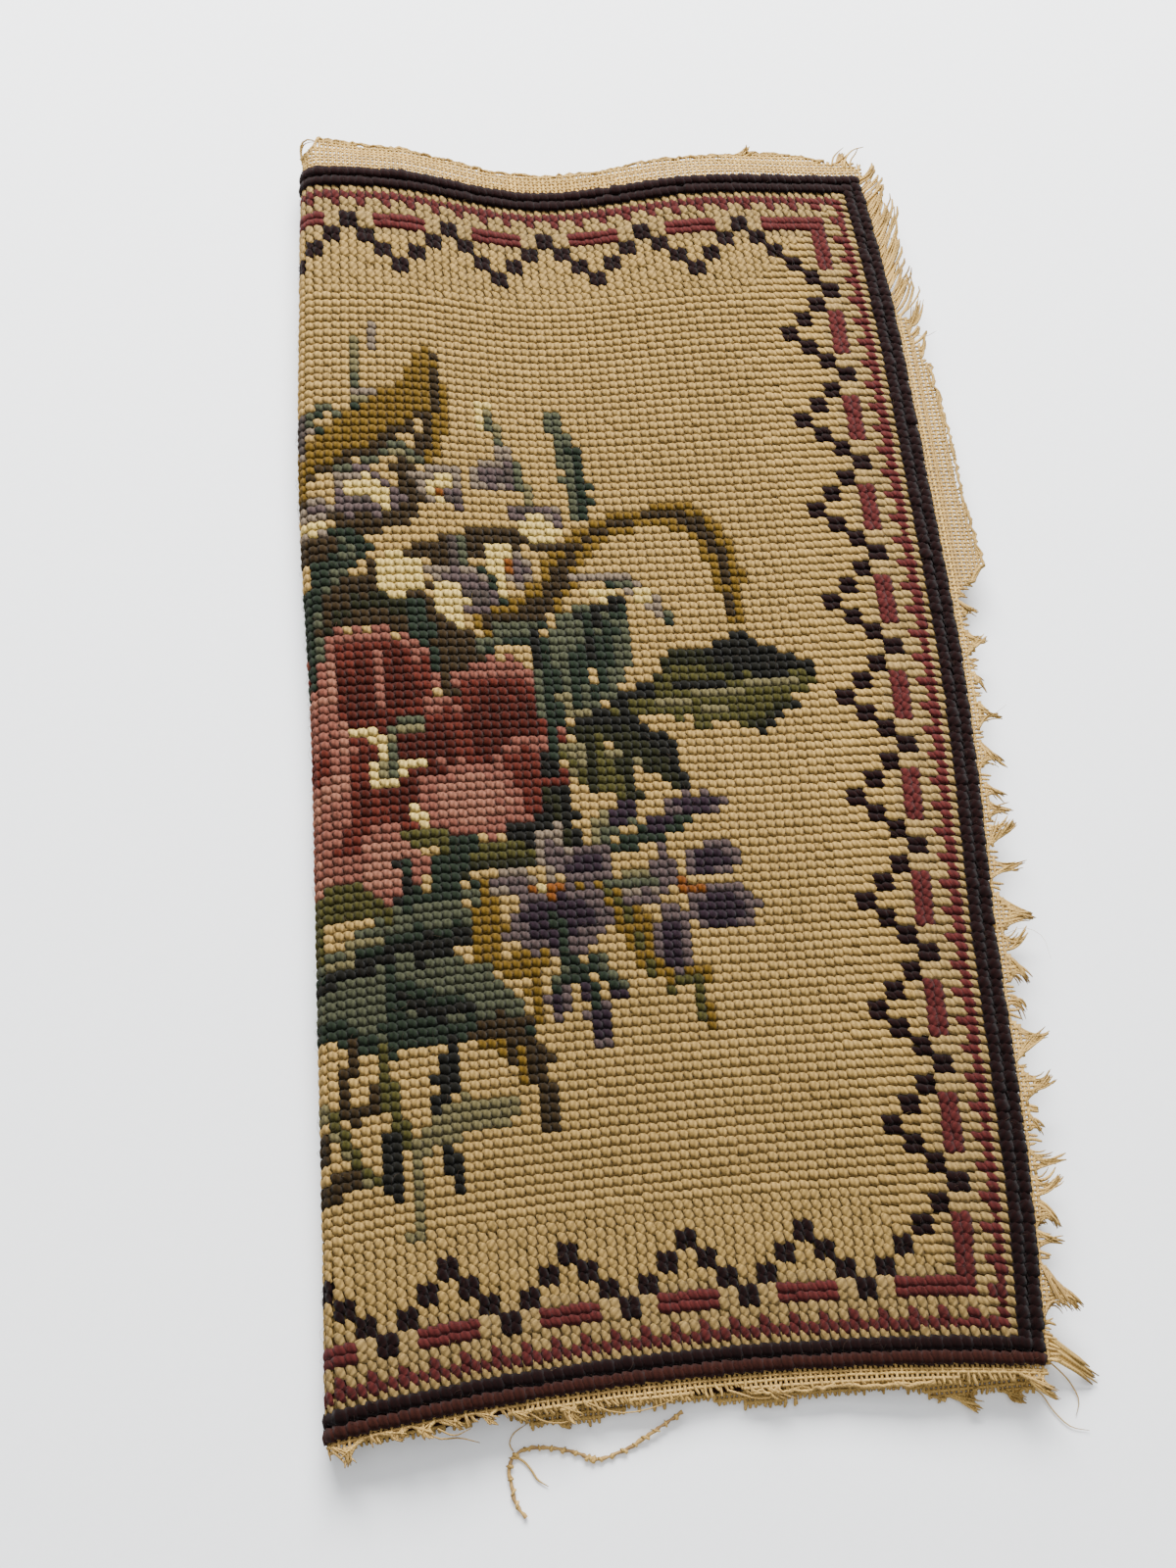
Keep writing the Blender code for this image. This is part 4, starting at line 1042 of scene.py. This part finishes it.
MARGINS = (
    Margin("top_margin", "frayed_top", above_top, 182,
           ((0, 6.6), (0.03, 7.4), (0.045, 12.2), (0.10, 12.4), (0.25, 10.2), (0.45, 8), (0.62, 9.4),
            (0.77, 10), (0.79, 11.2), (0.86, 10.8), (0.93, 8.8), (1, 5.2)),
           ((0, 1), (0.9, 1), (1, 3)), ((0, 0), (1, 0.3)),
           ((0.785, 13, 2.6, 0.6), (0.965, 12.6, 4.6, 1.2)),
           ((((0.6, 5.6, 0.2), (0.2, 8.6, 0.6), (1.6, 11.4, 0.9), (4.6, 12.4, 0.9), (7.6, 11.2, 0.4)),
             0.5, 0.45),
            (((1.2, 6, 0.3), (1.4, 8.8, 0.8), (3.4, 10.8, 1), (6.6, 11.2, 0.6)), 0.34, 0.6),
            (((0.4, 8, 0.6), (-1, 10.2, 0.9), (-0.6, 11.8, 0.9)), 0.2, 0.9),
            (((172, 6, 0.4), (173.5, 10, 0.9), (176.5, 13.2, 1.4), (178, 14.6, 1.6)), 0.34, 0.7),
            (((176, 5, 0.4), (177.4, 9, 1.2), (180.8, 12.4, 1.8), (185, 14.4, 1.6)), 0.4, 0.6),
            (((178, 5, 0.4), (179, 8, 1), (181, 10.4, 1.6), (182.6, 13.2, 1.8)), 0.3, 0.8)),
           0.5, False, 1),
    Margin("right_margin", "frayed_right", beside_right, FIELD,
           ((0, 0.8), (0.12, 1.4), (0.17, 5.2), (0.20, 9), (0.23, 10), (0.30, 10.8), (0.35, 11.8),
            (0.385, 13), (0.395, 9.5), (0.415, 4.2), (0.55, 3), (0.75, 2.8), (1, 2.6)),
           ((0, 9), (0.04, 12), (0.10, 14), (0.14, 12), (0.18, 4), (0.20, 0.9), (0.39, 0.9),
            (0.42, 2.6), (0.55, 2.8), (1, 3)),
           ((0, -0.8), (0.05, -1.4), (0.10, -1.6), (0.14, -1.5), (0.19, -0.6), (0.25, 0), (1, 0.1)),
           ((0.155, 11, 3.2, -7), (0.183, 10, 3, -5), (0.425, 8.4, 3.4, 1.6),
            (0.455, 10.4, 5.2, -1.4), (0.486, 7.4, 3, 2.4), (0.518, 10.8, 4.8, 0.6), (0.552, 9.4, 5.4, 3),
            (0.582, 8.4, 3, 2), (0.597, 9, 3.4, 1), (0.618, 10.6, 3.8, -3.2),
            (0.645, 12.2, 3.2, -0.4), (0.680, 14, 6.8, 0.2), (0.705, 9.8, 3.4, -3.4),
            (0.722, 9.4, 4.8, 4), (0.748, 7.4, 2.2, 3.4), (0.778, 11.8, 6.2, -1.6),
            (0.812, 12, 4.8, -2.6), (0.838, 7, 3, 1.4), (0.866, 11.8, 3.2, -0.6),
            (0.884, 10.6, 4.2, -3.4), (0.900, 8.6, 4.4, 3.6), (0.919, 8.8, 2.4, 0.4),
            (0.952, 11.4, 6.6, 4.4)),
           ((((60, 7, 0.2), (60.4, 10, 0.5), (59, 13.4, 1)), 0.12, 1),
            (((252, 3, 0.2), (250, 9, 1.4), (252, 14, 1), (258, 16, 0.2)), 0.06, 0.3),
            (((190, 3, 0.2), (187, 8, 1.4), (184, 12, 1.6)), 0.08, 0.4)),
           0.46, False, 2),
    Margin("bottom_margin", "frayed_bottom", below_bottom, 180,
           ((0, 2.2), (0.05, 2.6), (0.08, 2), (0.22, 2.2), (0.30, 3.4), (0.36, 4.4), (0.5, 5),
            (0.7, 5.2), (0.85, 5), (1, 3.2)),
           ((0, 2.6), (0.2, 2.8), (0.32, 2.4), (0.7, 1.4), (1, 2)), ((0, 0.5), (0.3, 0.6), (1, 0.2)),
           ((0.035, 7.4, 5.4, 0.4), (0.10, 4.6, 3.4, 1.6), (0.135, 5.4, 3.6, 1.4), (0.175, 4.8, 3.4, 2),
            (0.22, 5, 3.2, 1.8), (0.27, 6, 3.4, 1), (0.335, 8.4, 2.6, 1.6), (0.62, 7.6, 2.6, 2.6),
            (0.985, 8.5, 4, 4)),
           ((((50, 3.4, 0.3), (54, 6.2, 0.3), (59, 7.2, 0.2), (64, 6, 0.2)), 0.26, 0.5),
            (((24, 2, 0.2), (28, 5.6, 0.2), (33, 6.4, 0.2), (38, 8.4, 0.2)), 0.24, 0.6),
            (((28, 3.4, 0.2), (32, 5.6, 0.6), (36, 4.8, 0.4)), 0.22, 0.6),
            (((64, 3, 0.4), (72, 6.6, 0.6), (82, 6.4, 0.6), (90, 4, 0.6)), 0.2, 0.4),
            (((100, 4.4, 0.2), (108, 7, 0.4), (116, 6.2, 0.4)), 0.3, 0.7)),
           0.42, False, 3),
    Margin("lower_top_margin", None, above_lower_top, LOWER_WIDTH,
           ((0, 8.5), (1, 7.5)), ((0, 0.9), (1, 0.9)), ((0, 0), (1, 0)), (), (), 0.46, True, 4),
    Margin("lower_right_margin", "frayed_lower_right", beside_lower_right, FIELD,
           ((0, 5.5), (0.3, 6.6), (0.55, 5.6), (0.8, 6.6), (1, 5.2)),
           ((0, 1.8), (0.5, 2.4), (1, 2)), ((0, 0.2), (1, -0.2)),
           ((0.2, 9.6, 5, 0.3), (0.44, 9.8, 5, -0.4), (0.68, 9.4, 5, 0.3), (0.9, 10, 5, 0.2)), (),
           0.46, True, 5),
    Margin("lower_bottom_margin", "frayed_lower_bottom", below_lower_bottom, LOWER_WIDTH,
           ((0, 0.8), (0.25, 1), (0.30, 3.8), (0.37, 4), (0.41, 1.6), (0.55, 2), (0.59, 3.4),
            (0.66, 3.2), (0.68, 2), (0.79, 2.6), (0.87, 6.2), (1, 5.8)),
           ((0, 1.4), (0.5, 1.4), (1, 1.8)), ((0, 0.2), (1, -0.2)),
           ((0.90, 10.4, 4.4, 2.5), (0.97, 9.4, 3.4, 1.5), (0.335, 5.6, 3, 0.8)), (), 0.46, True, 6),
)


# How a loose end is read along its length, and how brown, curled and knotted the torn edge is
END_STEPS = np.array([0.08, 0.25, 0.45, 0.65, 0.85, 1.0])
END_TAPER = np.array([1.0, 0.98, 0.92, 0.82, 0.66, 0.30])
BLUNT_TAPER = np.array([1.0, 1.05, 1.1, 1.1, 1.0, 0.6])
BLUNT_FROM = 4
GATHER = 1.45
TIP_SPREAD = 0.8
TIP_BEND = 2.4
FLAP = 0.42
TORN_WIDE = 1.1
TORN_CURL = 0.55
KNOTTED_FROM = 4.5
KNOTTED_FREE = 1.7
EDGE_THREADS = 12
HELD_BY = 0.2
SHORTEST_RUN = 3
STRAND_RINGS = 9
LOWER_LIFT = 0.75


def runs_of(mask):
    """Start and end of each unbroken run in a mask."""
    steps = np.flatnonzero(np.diff(np.concatenate([[0], mask.astype(int), [0]])))
    return steps.reshape(-1, 2)


class MarginWork:
    """One margin: how far it is woven at each station along its edge, and its threads."""

    def __init__(self, margin):
        self.margin = margin
        self.draw = np.random.default_rng(200 + margin.seed)
        self.threads = defaultdict(list)
        self.cream = dyed(CANVAS_CREAM)
        # Lower margins take cream in place of tan: painted light, paler to make up for the shade that they
        # lie in.
        self.tan = dyed(CANVAS_CREAM if margin.lower else CANVAS_TAN)
        self.tip = dyed(CANVAS_TIP)
        self.stations = np.arange(PITCH / 2, margin.length, PITCH)
        share = self.stations / margin.length
        count = len(share)
        self.waver = np.convolve(self.draw.normal(0, 1, count + 8), np.ones(9) / 3, mode="valid")
        woven = np.interp(share, *zip(*margin.woven)) + 0.3 * self.waver + self.draw.normal(0, 0.15, count)
        for at, reach, half, _ in margin.tufts:
            near = np.clip(1 - abs(self.stations - at * margin.length) / half, 0, 1)
            woven = np.maximum(woven, woven + FLAP * near * (reach - woven))
        self.woven = woven
        self.free = np.interp(share, *zip(*margin.free))
        self.lean = np.interp(share, *zip(*margin.lean))
        self.outs = FIRST_THREAD + np.arange(EDGE_THREADS) * PITCH
        odd = np.arange(count)[:, None] + np.arange(EDGE_THREADS)[None] & 1
        self.over = WEAVE_RISE * np.where(odd, 1.0, -1.0)
        self.torn = np.exp(-np.maximum(0, woven[:, None] - self.outs) / TORN_WIDE)
        self.curl = TORN_CURL * self.torn * (1 + self.waver[:, None] * 0.6)

    def add(self, along, out, lift, radius, dryness, sides=4):
        """One thread through places in the margin. dryness is 0 for cream and 1 for a brown tip."""
        s, v = self.margin.place(np.asarray(along, float), np.asarray(out, float))
        middle = SHEET.at(s, v)
        normal = SHEET.normal(s, v)
        if self.margin.lower:
            points = middle * (1, 1, 0)
            points[:, 2] = np.maximum(LOWER_LIFT + np.asarray(lift), radius)
        else:
            points = middle + normal * np.asarray(lift, float)[:, None]
        pale = self.draw.uniform(0, 0.55)
        body = self.cream * (1 - pale) + self.tan * pale
        body = body * self.draw.normal(1, 0.05)
        dry = np.asarray(dryness, float)[:, None]
        colours = body * (1 - dry) + self.tip * dry
        self.threads[(len(points), sides)].append((points, np.asarray(radius, float), normal, colours))

    def long_threads(self):
        """Threads along the edge, each as long as the margin is woven that far out."""
        draw = self.draw
        wobble = np.cumsum(draw.normal(0, 0.03, (EDGE_THREADS, len(self.stations))), axis=1)
        wobble = np.clip(wobble - wobble.mean(axis=1, keepdims=True), -0.3, 0.3)
        for row, out in enumerate(self.outs):
            for start, end in runs_of(self.woven > out + HELD_BY):
                if end - start < SHORTEST_RUN:
                    continue
                along = self.stations[start:end].copy()
                along[0] -= draw.uniform(0.2, 1.4)
                along[-1] += draw.uniform(0.2, 1.4)
                near = self.torn[start:end, row]
                lift = self.over[start:end, row] + self.curl[start:end, row]
                radius = self.margin.thick * draw.normal(1, 0.05) * (1 + 0.2 * near)
                self.add(along, out + wobble[row, start:end], lift, radius, 0.05 + 0.4 * near)

    def knotted_edge(self):
        """Two strands that lie knotted along the torn edge, where it is wide and has short ends."""
        draw = self.draw
        for start, end in runs_of((self.woven > KNOTTED_FROM) & (self.free < KNOTTED_FREE)):
            count = end - start
            for _ in range(2 if count > SHORTEST_RUN else 0):
                along = self.stations[start:end] + draw.normal(0, 0.2, count)
                out = self.woven[start:end] + draw.normal(0.15, 0.28, count)
                lift = TORN_CURL + draw.normal(0, 0.2, count)
                radius = self.margin.thick * draw.uniform(0.7, 1.35, count)
                self.add(along, out, lift, radius, draw.uniform(0.1, 0.6, count))

    def gathered_end(self, along, last, tuft, gap, rise):
        """An end that is drawn to the point of its tuft: its places along, out and its tip's rise."""
        at, reach, _, bend = tuft
        draw = self.draw
        tip = last + (reach - last) * min(1, 0.5 + 0.8 * (1 - gap)) * draw.uniform(0.72, 1.04)
        middle = at * self.margin.length
        ends_along = middle + (along - middle) * (1 - END_STEPS) ** GATHER
        ends_along = ends_along + bend * END_STEPS ** TIP_BEND + draw.normal(0, TIP_SPREAD) * END_STEPS
        return ends_along, last + (tip - last) * END_STEPS, rise + draw.normal(0, 0.35)

    def single_end(self, along, last, away, own):
        """An end by itself, leaning and curled a little: its places along, out and its tip's rise."""
        draw = self.draw
        slant = math.hypot(1, away)
        curl = draw.normal(0, 0.1 * own)
        ends_along = along + away / slant * own * END_STEPS + curl * END_STEPS ** 2
        bow = 0.12 * own * END_STEPS * (1 - END_STEPS) * draw.normal(1, 0.6)
        ends_out = last + own / slant * END_STEPS ** 0.85 + bow
        ends_out[-1] -= 0.05 * own
        return ends_along, ends_out, draw.normal(0.1, 0.12) * own

    def cross_threads(self):
        """Threads from under the wool outward, whose free ends are ravelled into two or three strands."""
        draw = self.draw
        margin = self.margin
        rises = [draw.uniform(-0.4, 2.6) for _ in margin.tufts]
        for index, along in enumerate(self.stations):
            count = int((self.outs + HELD_BY < self.woven[index]).sum())
            held = np.concatenate([[ROOTS_UNDER_WOOL], self.outs[:count]])
            held_lift = np.concatenate([[0.0], self.curl[index, :count] - self.over[index, :count]])
            held_dry = np.concatenate([[0.05], 0.05 + 0.35 * self.torn[index, :count]])
            last = held[-1]
            gaps = [abs(tuft[0] * margin.length - along) / tuft[2] for tuft in margin.tufts]
            gathered = bool(gaps) and min(gaps) < 1
            for split in range(3 if gathered else 2):
                away = self.lean[index] + draw.normal(0, 0.16)
                own = max(0.5, self.free[index] * draw.normal(1, 0.2))
                if gathered:
                    which = int(np.argmin(gaps))
                    end = self.gathered_end(along, last, margin.tufts[which], gaps[which], rises[which])
                else:
                    end = self.single_end(along, last, away, own)
                ends_along, ends_out, rise = end
                ends_lift = held_lift[-1] * (1 - END_STEPS) + rise * END_STEPS ** 2
                ends_lift = ends_lift + draw.normal(0, 0.22) * END_STEPS
                brown = 0.06 + 0.65 * END_STEPS ** 3 * draw.uniform(0.2, 1.0)
                thick = margin.thick * (END_TAPER if gathered or own < BLUNT_FROM else BLUNT_TAPER)
                if split == 0:
                    same = np.ones(len(held))
                    whole = ((same * along, ends_along), (held, ends_out), (held_lift, ends_lift),
                             (same * margin.thick, thick), (held_dry, brown))
                    self.add(*(np.concatenate(parts) for parts in whole))
                else:
                    line = ends_along + draw.normal(0, 0.3) * END_STEPS
                    self.add(line, ends_out - 0.3, ends_lift + 0.1, thick * 0.7, brown, 3)

    def single_strands(self):
        for points, thick, dry in self.margin.strands:
            line = along_line(points, STRAND_RINGS)
            share = np.linspace(0, 1, STRAND_RINGS)
            taper = np.interp(share, (0, 0.6, 1), (1, 0.85, 0.4)) * thick
            self.add(line[:, 0], line[:, 1], line[:, 2], taper, np.linspace(0.15, 1, STRAND_RINGS) * dry)

    def finish(self, canvas):
        groups = []
        for (rings, sides), rows in sorted(self.threads.items()):
            points, radius, normal, colours = (np.array(part) for part in zip(*rows))
            lengths = np.linalg.norm(np.diff(points, axis=1), axis=2).sum(axis=1)
            groups.append(Yarns(points, radius, radius * 0.9, normal, colours, lengths, sides))
        made = made_of_yarns(self.margin.name, groups, canvas)
        if self.margin.node:
            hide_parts(self.margin.node)
        return made


def weave_margin(margin, canvas):
    """Long threads that lie along the edge, and cross threads whose ends are ravelled."""
    work = MarginWork(margin)
    work.long_threads()
    work.knotted_edge()
    work.cross_threads()
    work.single_strands()
    return work.finish(canvas)


# Odd ends that lie on the board, each with its half thickness and how brown it is
Wisp = namedtuple("Wisp", "points thick dry")
WISP_RINGS = 14
WISPS = (
    Wisp(((39.2, -192.3, 0.5), (41.4, -193.6, 0.35), (43.2, -195.8, 0.3), (44.6, -198.2, 0.3),
          (47.1, -200, 0.3)), 0.3, 0.5),
    Wisp(((39.2, -191.2, 0.4), (38.4, -189.4, 0.3), (39, -187.8, 0.3), (43.4, -184.9, 0.3)), 0.16, 0.2),
    Wisp(((174, -180.5, 5), (178, -183.6, 3), (181.5, -187.4, 1), (183, -191.6, 0.3),
          (181.6, -195, 0.3)), 0.22, 0.5),
    Wisp(((168, -186, 1), (173, -188.5, 0.5), (176, -193.4, 0.3), (180, -197.6, 0.3),
          (184.4, -198.8, 0.3)), 0.2, 0.5),
)

# Nubs and knots of the loose thread, which is read at many places along it
NUBS = 19
NUB_REACH = 0.7
NUB_PLACES = 120
KNOTS_AT = (49, 50, 51, 52, 88, 90)


def nubs_along(route):
    """Short browned turns and knots along the loose thread."""
    draw = np.random.default_rng(6)
    line = along_line(route, NUB_PLACES)
    ahead = np.gradient(line, axis=0)
    ahead /= np.linalg.norm(ahead, axis=1, keepdims=True)
    nubs = []
    for index in (*draw.permutation(np.arange(4, NUB_PLACES - 4, 6))[:NUBS], *KNOTS_AT):
        way = ahead[index] * draw.uniform(-0.4, 1.3) + np.cross(ahead[index], (0, 0, 1))
        way[2] = 0
        way *= NUB_REACH * draw.uniform(0.6, 1.35)
        first, top, last = line[index] - way, line[index].copy(), line[index] + way
        top[2] += 0.5
        nubs.append(Wisp((first, top, last), draw.uniform(0.24, 0.54), draw.uniform(0.6, 1.0)))
    return nubs


CORNER_LINE = np.array([(174.2, -177.2, 7), (179.4, -180.6, 4.8), (184.4, -183.8, 2.4), (189.2, -187, 0.7)])
CORNER_ACROSS = np.array([0.55, 0.84, 0.0])
CORNER_SPREAD = np.array([1.3, 1.1, 0.95, 1.1])
CORNER_STRANDS = 10


def corner_tuft():
    """The thick tuft of strands that hangs from the lower right corner."""
    draw = np.random.default_rng(8)
    strands = []
    for _ in range(CORNER_STRANDS):
        points = CORNER_LINE + CORNER_ACROSS * (CORNER_SPREAD * draw.normal(0, 1))[:, None]
        points[:, 2] += draw.uniform(-0.2, 0.7)
        points[-1] -= (CORNER_LINE[-1] - CORNER_LINE[-2]) * draw.uniform(-0.1, 0.9)
        points[-1, 2] = CORNER_LINE[-1, 2]
        strands.append(Wisp(points, draw.uniform(0.45, 0.68), draw.uniform(0.5, 0.9)))
    return strands


def lying_ends(name, wisps, canvas):
    """Small threads that lie on the board or round the loose thread."""
    groups = []
    for wisp in wisps:
        line = along_line(wisp.points, WISP_RINGS)[None]
        taper = np.interp(np.linspace(0, 1, WISP_RINGS), (0, 0.7, 1), (1, 0.9, 0.3)) * wisp.thick
        dry = (np.linspace(0.2, 1, WISP_RINGS) ** 2 * wisp.dry)[:, None]
        colours = dyed(CANVAS_CREAM) * (1 - dry) + dyed(CANVAS_TIP) * dry
        length = np.linalg.norm(np.diff(line, axis=1), axis=2).sum(axis=1)
        groups.append(Yarns(line, taper[None], taper[None], np.array([0.0, 0.0, 1.0]), colours[None],
                            length, 5))
    return made_of_yarns(name, groups, canvas)


# The crimp of the loose thread turns by so many radians a point, and its thickness swells with it
CRIMP_TURN = 1.9
MEAN_RADIUS = 0.9
SWELL = 0.22
SWELL_TURN = 2.3
UNEVEN = 0.14


def loose_thread(surface):
    """The long crimped thread that has worked loose at the bottom."""
    count = round(run_along(THREAD_ROUTE)[-1] / THREAD_POINT_STEP)
    line = along_line(THREAD_ROUTE, count)
    ahead = np.gradient(line, axis=0)
    side = np.cross(ahead, (0, 0, 1))
    side /= np.linalg.norm(side, axis=1, keepdims=True)
    wave = np.sin(np.arange(count) * CRIMP_TURN)
    line = line + side * (wave * THREAD_CRIMP)[:, None]
    places = to_frame(line)
    curve = bpy.data.curves.new("crimped_thread", "CURVE")
    curve.dimensions = "3D"
    curve.bevel_depth = THREAD_THICK / 2 * MM
    curve.bevel_resolution = 2
    curve.use_fill_caps = True
    spline = curve.splines.new("POLY")
    spline.points.add(count - 1)
    draw = np.random.default_rng(5)
    for index, (point, place) in enumerate(zip(spline.points, places)):
        point.co = (*place, 1)
        swell = SWELL * math.cos(index * SWELL_TURN)
        point.radius = MEAN_RADIUS + swell + draw.uniform(-UNEVEN, UNEVEN)
    made = place_piece("crimped_thread", curve, surface)
    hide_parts("loose_thread")
    length = float(np.linalg.norm(np.diff(places, axis=0), axis=1).sum())
    return made, places[0], length


def thread_surface():
    """Bare canvas thread without a map of its own: cream, browner here and there, with fine ridges."""
    surface = Surface("bare_thread")
    spot = surface.node("ShaderNodeTexCoord", {}, {}, "Object")
    stains = surface.node("ShaderNodeTexNoise", {}, {"Vector": spot, "Scale": 260.0, "Detail": 3.0})
    fibres = surface.node("ShaderNodeTexNoise", {}, {"Vector": spot, "Scale": 2600.0, "Detail": 3.0})
    mix = ((stains - 0.42) * 3.0).limited()
    colour = surface.node("ShaderNodeMix", {"data_type": "RGBA"},
                          {0: mix, 6: (*dyed(CANVAS_TAN), 1.0), 7: (*dyed(CANVAS_CREAM), 1.0)}, 2)
    relief = surface.node("ShaderNodeBump", {}, {"Strength": 0.7, "Distance": 0.00015, "Height": fibres})
    return surface.finish({"Base Color": surface.shade(colour, fibres * 0.5 + 0.72), "Normal": relief,
                           "Roughness": 0.9, "Specular IOR Level": 0.04})


BOARD_HALF = 3.0
BOARD_UNDER = 0.0002


def make_board():
    """The pale board that the panel lies on."""
    bm = bmesh.new()
    under = Matrix.Translation((0, 0, -BOARD_UNDER))
    bmesh.ops.create_grid(bm, x_segments=1, y_segments=1, size=BOARD_HALF, matrix=under)
    mesh = bpy.data.meshes.new("board")
    bm.to_mesh(mesh)
    bm.free()
    mesh.materials.append(floor_surface())
    board = bpy.data.objects.new("board", mesh)
    bpy.context.scene.collection.objects.link(board)


def make_lights():
    """Soft light from above and a little from the upper left, as in a studio."""
    def soft_box(name, place, target, size, watts):
        data = bpy.data.lights.new(name, "AREA")
        data.shape = "RECTANGLE"
        data.size = size[0]
        data.size_y = size[1]
        data.energy = watts
        lamp = bpy.data.objects.new(name, data)
        lamp.location = place
        lamp.rotation_euler = (Vector(target) - Vector(place)).to_track_quat("-Z", "Y").to_euler()
        bpy.context.scene.collection.objects.link(lamp)

    soft_box("window", (0.0, 1.05, 0.85), (0, 0.05, 0), (1.1, 0.7), 88)
    soft_box("ceiling", (-0.3, -0.1, 1.7), (0, 0, 0), (1.6, 1.6), 15)
    world = bpy.data.worlds.new("studio")
    world.use_nodes = True
    sky = world.node_tree.nodes["Background"]
    sky.inputs["Color"].default_value = (0.95, 0.97, 1.0, 1.0)
    sky.inputs["Strength"].default_value = 0.65
    bpy.context.scene.world = world


make_camera()
crimped_thread, thread_exit, thread_length = loose_thread(thread_surface())

wool_material = spun("wool_yarn", turns=1.0, plies=2.0, twist_shade=0.42, fibre_size=2400.0, bump=0.8,
                     sheen=0.03)
canvas_material = spun("canvas_thread", turns=1.1, plies=2.0, twist_shade=0.3, fibre_size=3200.0, bump=0.6,
                       sheen=0.0)

stitch_chart = Chart()
work_bouquet(stitch_chart)
work_border(stitch_chart)
canvas_sheet = worked_canvas(stitch_chart, wool_material)
on_sheet = work_stitches(stitch_chart, wool_material)
on_sheet.append(wool_hairs(stitch_chart, wool_material))
on_sheet += [weave_margin(margin, canvas_material) for margin in MARGINS]
lying_ends("odd_ends", [*WISPS, *corner_tuft()], canvas_material)
thread_nubs = lying_ends("thread_nubs", nubs_along(THREAD_ROUTE), canvas_material)

make_board()
make_lights()
